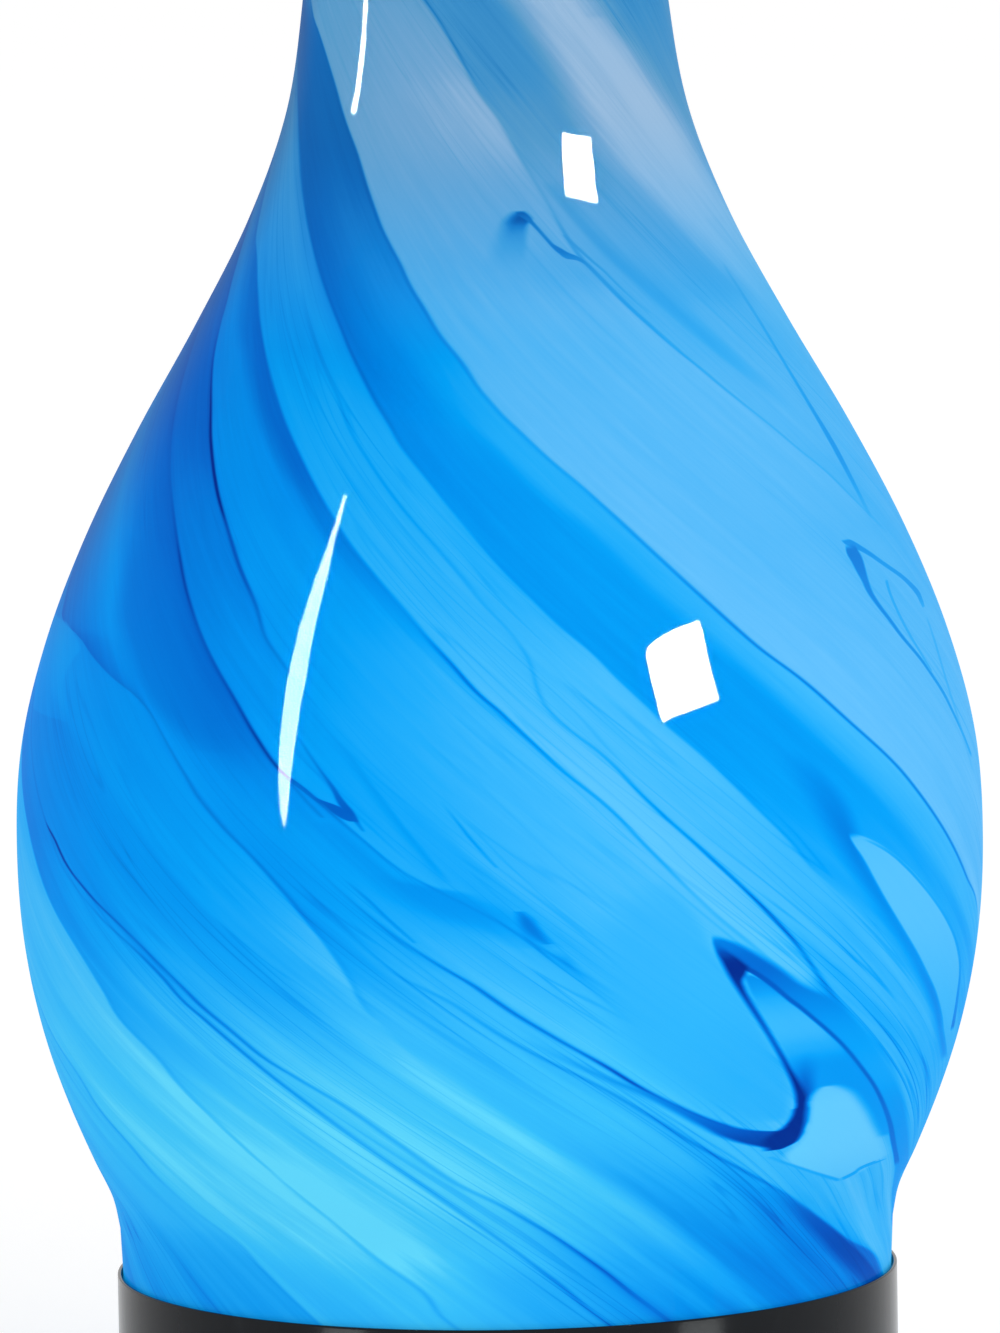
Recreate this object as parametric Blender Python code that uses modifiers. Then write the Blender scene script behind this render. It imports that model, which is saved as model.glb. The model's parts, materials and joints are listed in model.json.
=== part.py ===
"""Glass table lamp: a blown glass body on a spun cup, with a night light inside, a harp and a drum shade.

All lengths are in metres, +Z is up and the origin is the middle of the felt pad's underside.
Run with: blender --background --python part.py
"""

import math

import bmesh
import bpy
from mathutils import Vector

# Fits shared by all pieces
fit_gap = 0.0003
cut_overrun = 0.0020
merge_distance = 0.000001

# Counts
body_steps = 36
shade_steps = 48
socket_steps = 20
small_steps = 16
glass_spans = 20
glass_inner_spans = 10
corner_spans = 2
spacer_spans = 8
saddle_spans = 14
harp_spans = 32
harp_resolution = 2
ring_resolution = 1
shade_arm_count = 3
knob_flutes = 12
knob_points_per_flute = 4

# Felt pad and spun cup
cup_diameter = 0.1500
cup_height = 0.0457
cup_wall = 0.0008
cup_corner_radius = 0.0030
cup_dome_diameter = 0.0340
cup_dome_rise = 0.0090
cup_dome_slope = 0.0020
felt_thickness = 0.0020
felt_inset = 0.0030

# Cast weight
weight_web = 0.0080
weight_pocket_diameter = 0.1100
weight_corner = 0.0034
weight_draft = 0.0010

# Cord gland in the back of the cup
gland_bore = 0.0066
gland_body_diameter = 0.0092
gland_flange_diameter = 0.0140
gland_flange_thickness = 0.0022
gland_flange_rounding = 0.0006
gland_length = 0.0150

# Threaded rod with its nuts and washers
rod_diameter = 0.0100
rod_bore = 0.0070
rod_tail = 0.0012
rod_head = 0.0060
nut_across_flats = 0.0140
nut_height = 0.0040
washer_diameter = 0.0200
washer_thickness = 0.0010

# Night light inside the glass
bracket_thickness = 0.0015
bracket_reach = 0.0300
bracket_rod_end_diameter = 0.0200
bracket_lamp_end_diameter = 0.0170
night_socket_diameter = 0.0200
night_socket_height = 0.0280
night_socket_boss_diameter = 0.0090
night_socket_lip = 0.0016
night_cap_diameter = 0.0120
night_cap_length = 0.0180
night_cap_wall = 0.0008
night_cap_tip_diameter = 0.0050
night_cap_tip_height = 0.0020
night_bulb_diameter = 0.0220
night_bulb_height = 0.0380
night_bulb_wall = 0.0010
night_bulb_crown = 0.0170

# Blown glass body
gasket_thickness = 0.0020
gasket_width = 0.0100
glass_seat_depth = 0.0144
glass_collar_height = 0.0090
glass_wall = 0.0040
glass_foot_flare = 0.0004
belly_diameter = 0.1850
belly_height = 0.0820
neck_diameter = 0.0664
neck_height = 0.2640
# Heights run from the collar to the belly, and radii from the collar's to the belly's.
lower_outline_shares = (
    (0.000, 0.000),
    (0.081, 0.068),
    (0.189, 0.264),
    (0.324, 0.491),
    (0.459, 0.682),
    (0.595, 0.827),
    (0.770, 0.947),
    (1.000, 1.000),
)
# Heights run from the belly to the neck's rim, and radii from the neck's to the belly's.
upper_outline_shares = (
    (0.110, 0.979),
    (0.220, 0.893),
    (0.330, 0.758),
    (0.440, 0.585),
    (0.550, 0.391),
    (0.660, 0.213),
    (0.770, 0.086),
    (0.880, 0.028),
    (1.000, 0.000),
)

# Neck cap and spacer
neck_gasket_thickness = 0.0015
neck_cap_wall = 0.0010
neck_cap_skirt = 0.0080
neck_cap_rise = 0.0050
neck_cap_boss_diameter = 0.0200
neck_cap_rounding = 0.0012
spacer_height = 0.0120
spacer_end_diameter = 0.0160
spacer_bead_diameter = 0.0210

# Harp, its saddle and its ferrules
saddle_thickness = 0.0015
saddle_half_width = 0.0480
saddle_flat_half_width = 0.0160
saddle_rise = 0.0050
saddle_tab = 0.0050
saddle_centre_width = 0.0180
saddle_arm_width = 0.0070
saddle_pin_diameter = 0.0032
saddle_pin_height = 0.0100
harp_wire_diameter = 0.0032
harp_height = 0.2100
harp_half_width = 0.0570
harp_straight = 0.0260
harp_widest_height = 0.1080
harp_squareness = 2.3
ferrule_wall = 0.0008
ferrule_height = 0.0180
ferrule_foot_flare = 0.0006
stud_collar_diameter = 0.0130
stud_collar_skirt = 0.0008
stud_seat = 0.0018
stud_diameter = 0.0062
stud_height = 0.0120

# Lamp socket
socket_cap_hub_diameter = 0.0180
socket_cap_hub_height = 0.0065
socket_cap_height = 0.0180
socket_cap_wall = 0.0008
socket_cap_rounding = 0.0030
socket_shell_diameter = 0.0330
socket_shell_wall = 0.0006
socket_shell_height = 0.0460
socket_shell_overlap = 0.0060
socket_shell_bead = 0.0007
liner_wall = 0.0005
liner_setback = 0.0015
insulator_height = 0.0240
insulator_recess_diameter = 0.0140
insulator_recess_depth = 0.0060
screw_shell_wall = 0.0005
screw_shell_height = 0.0235
screw_shell_floor_bore = 0.0140
contact_head_diameter = 0.0080
contact_head_height = 0.0012
contact_stem_diameter = 0.0040

# Turn switch
switch_height = 0.0104
switch_shaft_diameter = 0.0036
switch_shaft_depth = 0.0080
switch_shaft_length = 0.0290
switch_knob_diameter = 0.0120
switch_knob_flute_depth = 0.0005
switch_knob_length = 0.0120
switch_knob_standoff = 0.0080
switch_hole_clearance = 0.0004

# Main bulb
bulb_base_diameter = 0.0262
bulb_base_clearance = 0.0004
bulb_base_height = 0.0220
bulb_tip_diameter = 0.0080
bulb_tip_height = 0.0015
bulb_insulator_height = 0.0030
bulb_base_wall = 0.0008
bulb_length = 0.1100
bulb_diameter = 0.0600
bulb_neck_diameter = 0.0250
bulb_wall = 0.0010
bulb_crown = 0.0300
bulb_crown_spans = 5
# Heights run from the neck to the widest level, and radii from the neck's to the widest.
bulb_shoulder_shares = (
    (0.00, 0.00),
    (0.16, 0.05),
    (0.42, 0.40),
    (0.72, 0.86),
    (1.00, 1.00),
)

# Drum shade
shade_height = 0.2250
shade_bottom_diameter = 0.3000
shade_top_diameter = 0.2800
shade_fabric_thickness = 0.0006
shade_liner_thickness = 0.0005
shade_liner_setback = 0.0008
shade_recess = 0.0120
shade_ring_diameter = 0.0032
shade_ring_setback = 0.0035
spider_washer_diameter = 0.0240
spider_washer_thickness = 0.0016
spider_arm_diameter = 0.0030
spider_arm_overlap = 0.0030

# Finial
finial_height = 0.0270
finial_diameter = 0.0180
finial_hole_depth = 0.0130
# Heights run from the foot to the tip, and radii are shares of the finial's widest radius.
finial_outline_shares = (
    (0.000, 0.722),
    (0.080, 0.722),
    (0.140, 0.500),
    (0.220, 0.480),
    (0.300, 0.720),
    (0.420, 0.950),
    (0.560, 1.000),
    (0.720, 0.880),
    (0.850, 0.640),
    (0.950, 0.340),
    (1.000, 0.000),
)

# Heights of the stack, worked out from the felt upwards
cup_bottom = felt_thickness + fit_gap
cup_floor_top = cup_bottom + cup_wall
cup_rim = cup_bottom + cup_height
cup_radius = cup_diameter / 2
cup_inner_radius = cup_radius - cup_wall
dome_under = cup_bottom + cup_dome_rise
dome_top = dome_under + cup_wall
weight_bottom = cup_floor_top + fit_gap
weight_floor_top = dome_top + fit_gap + weight_web
glass_bottom = cup_rim - glass_seat_depth
gasket_bottom = glass_bottom - fit_gap - gasket_thickness
weight_top = gasket_bottom - fit_gap
gland_axis = (weight_floor_top + weight_top) / 2
collar_top = cup_rim + glass_collar_height
belly_level = cup_rim + belly_height
glass_top = cup_rim + neck_height
foot_radius = cup_inner_radius - fit_gap
collar_radius = foot_radius + glass_foot_flare
belly_radius = belly_diameter / 2
neck_radius = neck_diameter / 2

rod_radius = rod_diameter / 2
rod_hole_radius = rod_radius + fit_gap
lower_washer_bottom = dome_under - fit_gap - washer_thickness
lower_nut_bottom = lower_washer_bottom - fit_gap - nut_height
rod_bottom = lower_nut_bottom - rod_tail
upper_washer_bottom = weight_floor_top + fit_gap
bracket_bottom = upper_washer_bottom + washer_thickness + fit_gap
bracket_top = bracket_bottom + bracket_thickness
upper_nut_bottom = bracket_top + fit_gap
night_socket_top = bracket_top + fit_gap + night_socket_height
night_cap_bottom = night_socket_top + fit_gap - night_cap_length
night_bulb_bottom = night_socket_top + 2 * fit_gap

neck_gasket_bottom = glass_top + fit_gap
cap_underside = neck_gasket_bottom + neck_gasket_thickness + fit_gap
cap_top = cap_underside + neck_cap_wall + neck_cap_rise
spacer_bottom = cap_top + fit_gap
saddle_bottom = spacer_bottom + spacer_height + fit_gap
saddle_top = saddle_bottom + saddle_thickness
socket_bottom = saddle_top + fit_gap
socket_shoulder = socket_bottom + socket_cap_hub_height
socket_cap_top = socket_bottom + socket_cap_height
rod_top = socket_bottom + rod_head
socket_cap_radius = socket_shell_diameter / 2 + fit_gap + socket_cap_wall
shell_bottom = socket_cap_top - socket_shell_overlap
shell_top = shell_bottom + socket_shell_height
shell_inner_radius = socket_shell_diameter / 2 - socket_shell_wall
liner_radius = shell_inner_radius - fit_gap
insulator_radius = liner_radius - liner_wall - fit_gap
insulator_bottom = socket_shoulder + socket_cap_wall + fit_gap
insulator_top = insulator_bottom + insulator_height
switch_level = insulator_top - switch_height
screw_shell_bottom = insulator_top + fit_gap
bulb_bottom = screw_shell_bottom + contact_head_height + fit_gap
bulb_base_bottom = bulb_bottom + bulb_tip_height + bulb_insulator_height
bulb_base_top = bulb_base_bottom + bulb_base_height
globe_bottom = bulb_base_top + fit_gap
globe_top = bulb_bottom + bulb_length

tab_top = saddle_top + saddle_rise
pin_top = tab_top + saddle_pin_height
harp_bottom = pin_top + fit_gap
harp_crest = saddle_bottom + harp_height
harp_top = harp_crest + harp_wire_diameter / 2
stud_seat_level = harp_top + stud_seat
spider_washer_bottom = stud_seat_level + fit_gap
spider_washer_top = spider_washer_bottom + spider_washer_thickness
shade_top = spider_washer_top + shade_recess
shade_bottom = shade_top - shade_height
finial_bottom = spider_washer_top + fit_gap


def clear_scene():
    """Removes what the start-up file holds."""
    for thing in list(bpy.data.objects):
        bpy.data.objects.remove(thing, do_unlink=True)


def new_collection(name):
    collection = bpy.data.collections.new(name)
    bpy.context.scene.collection.children.link(collection)
    return collection


clear_scene()
lamp = new_collection("glass_table_lamp")
cutters = new_collection("cutters")


def finish(name, colour, roughness, metallic=0.0, transmission=0.0):
    """A Principled material with one colour."""
    material = bpy.data.materials.new(name)
    material.use_nodes = True
    shader = material.node_tree.nodes["Principled BSDF"]
    shader.inputs["Base Color"].default_value = (*colour, 1.0)
    shader.inputs["Roughness"].default_value = roughness
    shader.inputs["Metallic"].default_value = metallic
    shader.inputs["Transmission Weight"].default_value = transmission
    material.diffuse_color = (*colour, 1.0)
    return material


black_enamel = finish("black_enamel", (0.012, 0.013, 0.015), 0.28)
cast_iron = finish("cast_iron", (0.09, 0.09, 0.095), 0.70, 0.8)
blue_glass = finish("blue_glass", (0.02, 0.28, 0.80), 0.05, 0.0, 0.2)
clear_glass = finish("clear_glass", (0.92, 0.92, 0.90), 0.10, 0.0, 0.8)
brass = finish("brass", (0.72, 0.50, 0.20), 0.28, 1.0)
steel = finish("zinc_steel", (0.62, 0.63, 0.65), 0.35, 1.0)
rubber = finish("rubber", (0.02, 0.02, 0.02), 0.80)
felt = finish("felt", (0.02, 0.03, 0.02), 0.95)
phenolic = finish("phenolic", (0.03, 0.02, 0.015), 0.35)
fibre_paper = finish("fibre_paper", (0.35, 0.25, 0.15), 0.85)
linen = finish("linen", (0.82, 0.79, 0.72), 0.85)
styrene = finish("styrene", (0.90, 0.89, 0.86), 0.45)


def place(thing, collection, material, location, rotation):
    collection.objects.link(thing)
    if material is not None:
        thing.data.materials.append(material)
    thing.location = location
    thing.rotation_euler = rotation
    return thing


def turned(name, profile, material, steps=small_steps, location=(0, 0, 0), rotation=(0, 0, 0), home=lamp):
    """A turned piece: the profile's (radius, height) points run down the outside and up the inside.

    A profile that starts and ends on the axis stays open there, and any other is closed into a ring.
    """
    on_axis = profile[0][0] == 0 and profile[-1][0] == 0
    edges = [(i, i + 1) for i in range(len(profile) - 1)]
    if not on_axis:
        edges.append((len(profile) - 1, 0))
    mesh = bpy.data.meshes.new(name)
    mesh.from_pydata([(radius, 0, height) for radius, height in profile], edges, [])
    thing = place(bpy.data.objects.new(name, mesh), home, material, location, rotation)
    screw = thing.modifiers.new("turn", "SCREW")
    screw.axis = "Z"
    screw.angle = math.tau
    screw.steps = steps
    screw.render_steps = steps
    screw.use_merge_vertices = True
    screw.merge_threshold = merge_distance
    screw.use_smooth_shade = True
    return thing


def flat_outline(name, outlines, thickness, material, location=(0, 0, 0), rotation=(0, 0, 0), home=lamp):
    """A plate cut from flat stock: the first outline is its edge and the others are its holes."""
    curve = bpy.data.curves.new(name, "CURVE")
    curve.dimensions = "2D"
    curve.fill_mode = "BOTH"
    curve.extrude = thickness / 2
    curve.render_resolution_u = 0
    for outline in outlines:
        add_spline(curve, [(x, y, 0) for x, y in outline], True)
    return place(bpy.data.objects.new(name, curve), home, material, location, rotation)


def wire(name, points, diameter, material, resolution, closed=False, home=lamp):
    """A round wire or tube along a line of points, with filled ends."""
    curve = bpy.data.curves.new(name, "CURVE")
    curve.dimensions = "3D"
    curve.bevel_depth = diameter / 2
    curve.bevel_resolution = resolution
    curve.use_fill_caps = not closed
    curve.render_resolution_u = 0
    add_spline(curve, points, closed)
    return place(bpy.data.objects.new(name, curve), home, material, (0, 0, 0), (0, 0, 0))


def add_spline(curve, points, closed):
    spline = curve.splines.new("POLY")
    spline.points.add(len(points) - 1)
    for point, position in zip(spline.points, points):
        point.co = (*position, 1.0)
    spline.use_cyclic_u = closed


def as_mesh(thing):
    """Turns a curve object into a mesh object with welded caps, which a Boolean can work on."""
    bpy.context.view_layer.update()
    evaluated = thing.evaluated_get(bpy.context.evaluated_depsgraph_get())
    mesh = bpy.data.meshes.new_from_object(evaluated)
    weld(mesh)
    name = thing.name
    home = thing.users_collection[0]
    matrix = thing.matrix_world.copy()
    bpy.data.objects.remove(thing, do_unlink=True)
    solid = bpy.data.objects.new(name, mesh)
    home.objects.link(solid)
    solid.matrix_world = matrix
    return solid


def weld(mesh):
    shell = bmesh.new()
    shell.from_mesh(mesh)
    bmesh.ops.remove_doubles(shell, verts=shell.verts, dist=merge_distance)
    bmesh.ops.recalc_face_normals(shell, faces=shell.faces)
    shell.to_mesh(mesh)
    shell.free()


def combine(thing, tool, operation):
    """Adds a Boolean of a tool, which itself is left out of the lamp."""
    boolean = thing.modifiers.new(tool.name, "BOOLEAN")
    boolean.operation = operation
    boolean.object = tool
    boolean.solver = "EXACT"
    tool.hide_render = True
    tool.display_type = "WIRE"
    return thing


def rod_cutter(name, diameter, start, end):
    """A round bar from one point to another, to cut with or to join."""
    start = Vector(start)
    run = Vector(end) - start
    radius = diameter / 2
    profile = [(0, run.length), (radius, run.length), (radius, 0), (0, 0)]
    turn = run.to_track_quat("Z", "Y").to_euler()
    return turned(name, profile, None, small_steps, start, turn, cutters)


def circle(radius, count, centre=(0, 0)):
    return [
        (
            centre[0] + radius * math.cos(math.tau * i / count),
            centre[1] + radius * math.sin(math.tau * i / count),
        )
        for i in range(count)
    ]


def corner_arc(centre, radius, start_degrees, end_degrees):
    """Points of a rounded corner in a profile."""
    points = []
    for i in range(corner_spans + 1):
        angle = math.radians(start_degrees + (end_degrees - start_degrees) * i / corner_spans)
        points.append((centre[0] + radius * math.cos(angle), centre[1] + radius * math.sin(angle)))
    return points


def smooth_value(knots, x):
    """Value at x of the smooth curve through the (x, value) knots, which are in rising order of x."""
    last = len(knots) - 2
    span = 0
    while span < last and x > knots[span + 1][0]:
        span += 1
    (x0, v0), (x1, v1) = knots[span], knots[span + 1]
    step = x1 - x0
    t = (x - x0) / step
    start_slope = knot_slope(knots, span) * step
    end_slope = knot_slope(knots, span + 1) * step
    value = (2 * t**3 - 3 * t**2 + 1) * v0 + (t**3 - 2 * t**2 + t) * start_slope
    return value + (3 * t**2 - 2 * t**3) * v1 + (t**3 - t**2) * end_slope


def knot_slope(knots, i):
    """Slope of the parabola through a knot and its two neighbours."""
    if i == 0:
        return (knots[1][1] - knots[0][1]) / (knots[1][0] - knots[0][0])
    if i == len(knots) - 1:
        return (knots[i][1] - knots[i - 1][1]) / (knots[i][0] - knots[i - 1][0])
    before = knots[i][0] - knots[i - 1][0]
    after = knots[i + 1][0] - knots[i][0]
    rise_before = (knots[i][1] - knots[i - 1][1]) / before
    rise_after = (knots[i + 1][1] - knots[i][1]) / after
    return (rise_before * after + rise_after * before) / (before + after)


def glass_knots():
    """(height, radius) knots of the glass outline, from the collar to the neck's rim."""
    knots = []
    for height_share, radius_share in lower_outline_shares:
        height = collar_top + (belly_level - collar_top) * height_share
        knots.append((height, collar_radius + (belly_radius - collar_radius) * radius_share))
    for height_share, radius_share in upper_outline_shares:
        height = belly_level + (glass_top - belly_level) * height_share
        knots.append((height, neck_radius + (belly_radius - neck_radius) * radius_share))
    return knots


def glass_radius(height):
    return smooth_value(glass_knots(), height)


def inner_offset(outline, wall):
    """The outline moved inwards by the wall, square to its own direction, with level ends."""
    moved = []
    for i, (radius, height) in enumerate(outline):
        before = outline[max(i - 1, 0)]
        after = outline[min(i + 1, len(outline) - 1)]
        along = Vector((after[0] - before[0], after[1] - before[1])).normalized()
        if i in (0, len(outline) - 1):
            moved.append((radius - wall, height))
        else:
            moved.append((radius + along.y * wall, height - along.x * wall))
    return moved


def make_base():
    """Felt pad, spun cup, cast weight and cord gland."""
    felt_radius = cup_radius - felt_inset
    felt_profile = [(0, felt_thickness), (felt_radius, felt_thickness), (felt_radius, 0), (0, 0)]
    turned("felt_pad", felt_profile, felt, body_steps)

    dome_radius = cup_dome_diameter / 2
    outer_corner = corner_arc(
        (cup_radius - cup_corner_radius, cup_bottom + cup_corner_radius), cup_corner_radius, 0, -90
    )
    inner_corner = corner_arc(
        (cup_radius - cup_corner_radius, cup_bottom + cup_corner_radius), cup_corner_radius - cup_wall, -90, 0
    )
    cup_profile = [
        (cup_radius, cup_rim),
        *outer_corner,
        (dome_radius + cup_dome_slope, cup_bottom),
        (dome_radius, dome_under),
        (rod_hole_radius, dome_under),
        (rod_hole_radius, dome_top),
        (dome_radius + cup_wall, dome_top),
        (dome_radius + cup_wall + cup_dome_slope, cup_floor_top),
        *inner_corner,
        (cup_inner_radius, cup_rim),
    ]
    cup = turned("base_cup", cup_profile, black_enamel, body_steps)
    cup_hole = rod_cutter(
        "cup_gland_hole",
        gland_body_diameter + 2 * fit_gap,
        (0, cup_inner_radius - cut_overrun, gland_axis),
        (0, cup_radius + cut_overrun, gland_axis),
    )
    combine(cup, cup_hole, "DIFFERENCE")

    weight_radius = cup_inner_radius - fit_gap
    pocket_radius = weight_pocket_diameter / 2
    recess_radius = dome_radius + cup_wall + cup_dome_slope + fit_gap
    weight_profile = [
        (weight_radius, weight_top),
        (weight_radius, weight_bottom + weight_corner),
        (weight_radius - weight_corner, weight_bottom),
        (recess_radius, weight_bottom),
        (recess_radius - cup_dome_slope, dome_top + fit_gap),
        (rod_hole_radius, dome_top + fit_gap),
        (rod_hole_radius, weight_floor_top),
        (pocket_radius - weight_draft, weight_floor_top),
        (pocket_radius, weight_top),
    ]
    weight = turned("base_weight", weight_profile, cast_iron, body_steps)
    weight_hole = rod_cutter(
        "weight_gland_hole",
        gland_body_diameter + 2 * fit_gap,
        (0, pocket_radius - weight_draft - cut_overrun, gland_axis),
        (0, weight_radius + cut_overrun, gland_axis),
    )
    combine(weight, weight_hole, "DIFFERENCE")

    bore_radius = gland_bore / 2
    body_radius = gland_body_diameter / 2
    flange_radius = gland_flange_diameter / 2
    gland_profile = [
        (flange_radius - gland_flange_rounding, gland_flange_thickness),
        (flange_radius, gland_flange_thickness - gland_flange_rounding),
        (flange_radius, 0),
        (body_radius, 0),
        (body_radius, -gland_length),
        (bore_radius, -gland_length),
        (bore_radius, gland_flange_thickness - gland_flange_rounding),
        (bore_radius + gland_flange_rounding, gland_flange_thickness),
    ]
    seat = (0, cup_radius + fit_gap, gland_axis)
    turned("cord_gland", gland_profile, rubber, small_steps, seat, (-math.pi / 2, 0, 0))


def ring(name, outer_radius, inner_radius, bottom, thickness, material, steps=small_steps):
    profile = [
        (outer_radius, bottom + thickness),
        (outer_radius, bottom),
        (inner_radius, bottom),
        (inner_radius, bottom + thickness),
    ]
    return turned(name, profile, material, steps)


def hex_nut(name, bottom):
    corner_radius = nut_across_flats / 2 / math.cos(math.pi / 6)
    outlines = [circle(corner_radius, 6), circle(rod_hole_radius, small_steps)]
    return flat_outline(name, outlines, nut_height, steel, (0, 0, bottom + nut_height / 2))


def make_rod():
    """Threaded tube through the whole lamp, with the nuts and washers that clamp it in the base."""
    ring("center_rod", rod_radius, rod_bore / 2, rod_bottom, rod_top - rod_bottom, steel)
    washer_radius = washer_diameter / 2
    ring("rod_lower_washer", washer_radius, rod_hole_radius, lower_washer_bottom, washer_thickness, steel)
    ring("rod_upper_washer", washer_radius, rod_hole_radius, upper_washer_bottom, washer_thickness, steel)
    hex_nut("rod_lower_nut", lower_nut_bottom)
    hex_nut("rod_upper_nut", upper_nut_bottom)


def strap_outline(rod_end_radius, lamp_end_radius, reach, count):
    """Outline of a strap with round ends about the origin and about a point at its reach along X."""
    lean = math.acos((rod_end_radius - lamp_end_radius) / reach)
    points = []
    for i in range(count + 1):
        angle = -lean + 2 * lean * i / count
        points.append((reach + lamp_end_radius * math.cos(angle), lamp_end_radius * math.sin(angle)))
    for i in range(count + 1):
        angle = lean + (math.tau - 2 * lean) * i / count
        points.append((rod_end_radius * math.cos(angle), rod_end_radius * math.sin(angle)))
    return points


def make_night_light():
    """Small lamp on a strap inside the glass."""
    boss_radius = night_socket_boss_diameter / 2
    rod_end = bracket_rod_end_diameter / 2
    lamp_end = bracket_lamp_end_diameter / 2
    outlines = [
        strap_outline(rod_end, lamp_end, bracket_reach, small_steps),
        circle(rod_hole_radius, small_steps),
        circle(boss_radius + fit_gap, small_steps, (bracket_reach, 0)),
    ]
    middle = (0, 0, bracket_bottom + bracket_thickness / 2)
    flat_outline("night_light_bracket", outlines, bracket_thickness, steel, middle)

    axis = (bracket_reach, 0, 0)
    socket_radius = night_socket_diameter / 2
    cap_radius = night_cap_diameter / 2
    well_radius = cap_radius + fit_gap
    well_floor = night_cap_bottom - fit_gap
    socket_foot = bracket_top + fit_gap
    socket_profile = [
        (socket_radius - night_socket_lip, night_socket_top),
        (socket_radius, night_socket_top - night_socket_lip),
        (socket_radius, socket_foot),
        (boss_radius, socket_foot),
        (boss_radius, bracket_bottom),
        (0, bracket_bottom),
    ]
    socket_well = [
        (0, well_floor),
        (well_radius, well_floor),
        (well_radius, night_socket_top),
    ]
    turned("night_light_socket", socket_well + socket_profile, phenolic, small_steps, axis)

    tip_radius = night_cap_tip_diameter / 2
    cap_shoulder = night_cap_bottom + night_cap_tip_height
    cap_top_level = night_bulb_bottom - fit_gap
    cap_profile = [
        (0, cap_shoulder + night_cap_wall),
        (cap_radius - night_cap_wall, cap_shoulder + night_cap_wall),
        (cap_radius - night_cap_wall, cap_top_level),
        (cap_radius, cap_top_level),
        (cap_radius, cap_shoulder),
        (tip_radius, night_cap_bottom),
        (0, night_cap_bottom),
    ]
    turned("night_light_cap", cap_profile, brass, small_steps, axis)

    blown_bulb(
        "night_light_bulb", cap_radius, night_bulb_diameter / 2, night_bulb_bottom,
        night_bulb_height, night_bulb_crown, night_bulb_wall, small_steps, axis,
    )


def blown_bulb(name, neck, widest, bottom, height, crown, wall, steps, location):
    """A glass bulb, open at its neck: an arched crown over a shoulder that draws in to the neck."""
    widest_level = bottom + height - crown
    outline = [(0, bottom + height)]
    for i in range(1, bulb_crown_spans):
        angle = math.pi / 2 * (1 - i / bulb_crown_spans)
        outline.append((widest * math.cos(angle), widest_level + crown * math.sin(angle)))
    for height_share, radius_share in reversed(bulb_shoulder_shares):
        level = bottom + (widest_level - bottom) * height_share
        outline.append((neck + (widest - neck) * radius_share, level))
    inner = inner_offset(outline, wall)
    inner[0] = (0, bottom + height - wall)
    turned(name, outline + inner[::-1], clear_glass, steps, location)


def make_glass():
    """Rubber seat and the blown glass body, open at its neck and at its foot."""
    seat_inner = foot_radius - gasket_width
    ring("seat_gasket", foot_radius, seat_inner, gasket_bottom, gasket_thickness, rubber, body_steps)
    outline = []
    for i in range(glass_spans + 1):
        height = glass_top + (collar_top - glass_top) * i / glass_spans
        outline.append((glass_radius(height), height))
    outline.append((foot_radius, cup_rim))
    outline.append((foot_radius, glass_bottom))
    inner = inner_offset(outline, glass_wall)
    inner = inner[: -1 : glass_spans // glass_inner_spans] + inner[-1:]
    turned("glass_body", outline + inner[::-1], blue_glass, body_steps)


def make_neck():
    """Gasket, spun cap and turned spacer over the glass neck."""
    gasket_inner = neck_radius - glass_wall
    gasket_size = (neck_radius, gasket_inner, neck_gasket_bottom, neck_gasket_thickness)
    ring("neck_gasket", *gasket_size, rubber, body_steps)

    skirt_bottom = glass_top - neck_cap_skirt
    skirt_inner = glass_radius(skirt_bottom) + fit_gap
    skirt_outer = skirt_inner + neck_cap_wall
    shoulder = cap_underside + neck_cap_wall
    boss_radius = neck_cap_boss_diameter / 2
    corner = (skirt_outer - neck_cap_rounding, shoulder - neck_cap_rounding)
    cap_profile = [
        (rod_hole_radius, cap_top),
        (boss_radius, cap_top),
        *corner_arc(corner, neck_cap_rounding, 90, 0),
        (skirt_outer, skirt_bottom),
        (skirt_inner, skirt_bottom),
        (skirt_inner, cap_underside),
        (gasket_inner, cap_underside),
        (boss_radius, cap_top - neck_cap_wall),
        (rod_hole_radius, cap_top - neck_cap_wall),
    ]
    turned("neck_cap", cap_profile, black_enamel, body_steps)

    end_radius = spacer_end_diameter / 2
    bead_radius = spacer_bead_diameter / 2
    outline = []
    for i in range(spacer_spans + 1):
        share = i / spacer_spans
        swell = math.sin(math.pi * share) ** 2
        height = spacer_bottom + spacer_height * (1 - share)
        outline.append((end_radius + (bead_radius - end_radius) * swell, height))
    bore = [(rod_hole_radius, spacer_bottom), (rod_hole_radius, spacer_bottom + spacer_height)]
    turned("neck_spacer", outline + bore, brass)


def saddle_side():
    """Side view of the saddle strap: a level middle, two rising arms and a level tab at each end."""
    end = saddle_half_width + saddle_tab
    top = [
        (saddle_flat_half_width, saddle_thickness),
        (saddle_half_width - saddle_tab, saddle_rise + saddle_thickness),
        (end, saddle_rise + saddle_thickness),
    ]
    bottom = [(x, z - saddle_thickness) for x, z in reversed(top)]
    right = top + bottom
    left = [(-x, z) for x, z in reversed(right)]
    return right + left


def saddle_plan():
    """Plan view of the strap: wide in the middle, with narrow round ends."""
    end_radius = saddle_arm_width / 2
    points = []
    for i in range(saddle_spans + 1):
        x = saddle_half_width * (1 - 2 * i / saddle_spans)
        swell = (1 + math.cos(math.pi * x / saddle_half_width)) / 2
        points.append((x, end_radius + (saddle_centre_width / 2 - end_radius) * swell))
    for i in range(1, corner_spans * 2):
        angle = math.pi / 2 + math.pi * i / (corner_spans * 2)
        points.append((-saddle_half_width + end_radius * math.cos(angle), end_radius * math.sin(angle)))
    return points + [(-x, -y) for x, y in points]


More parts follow.
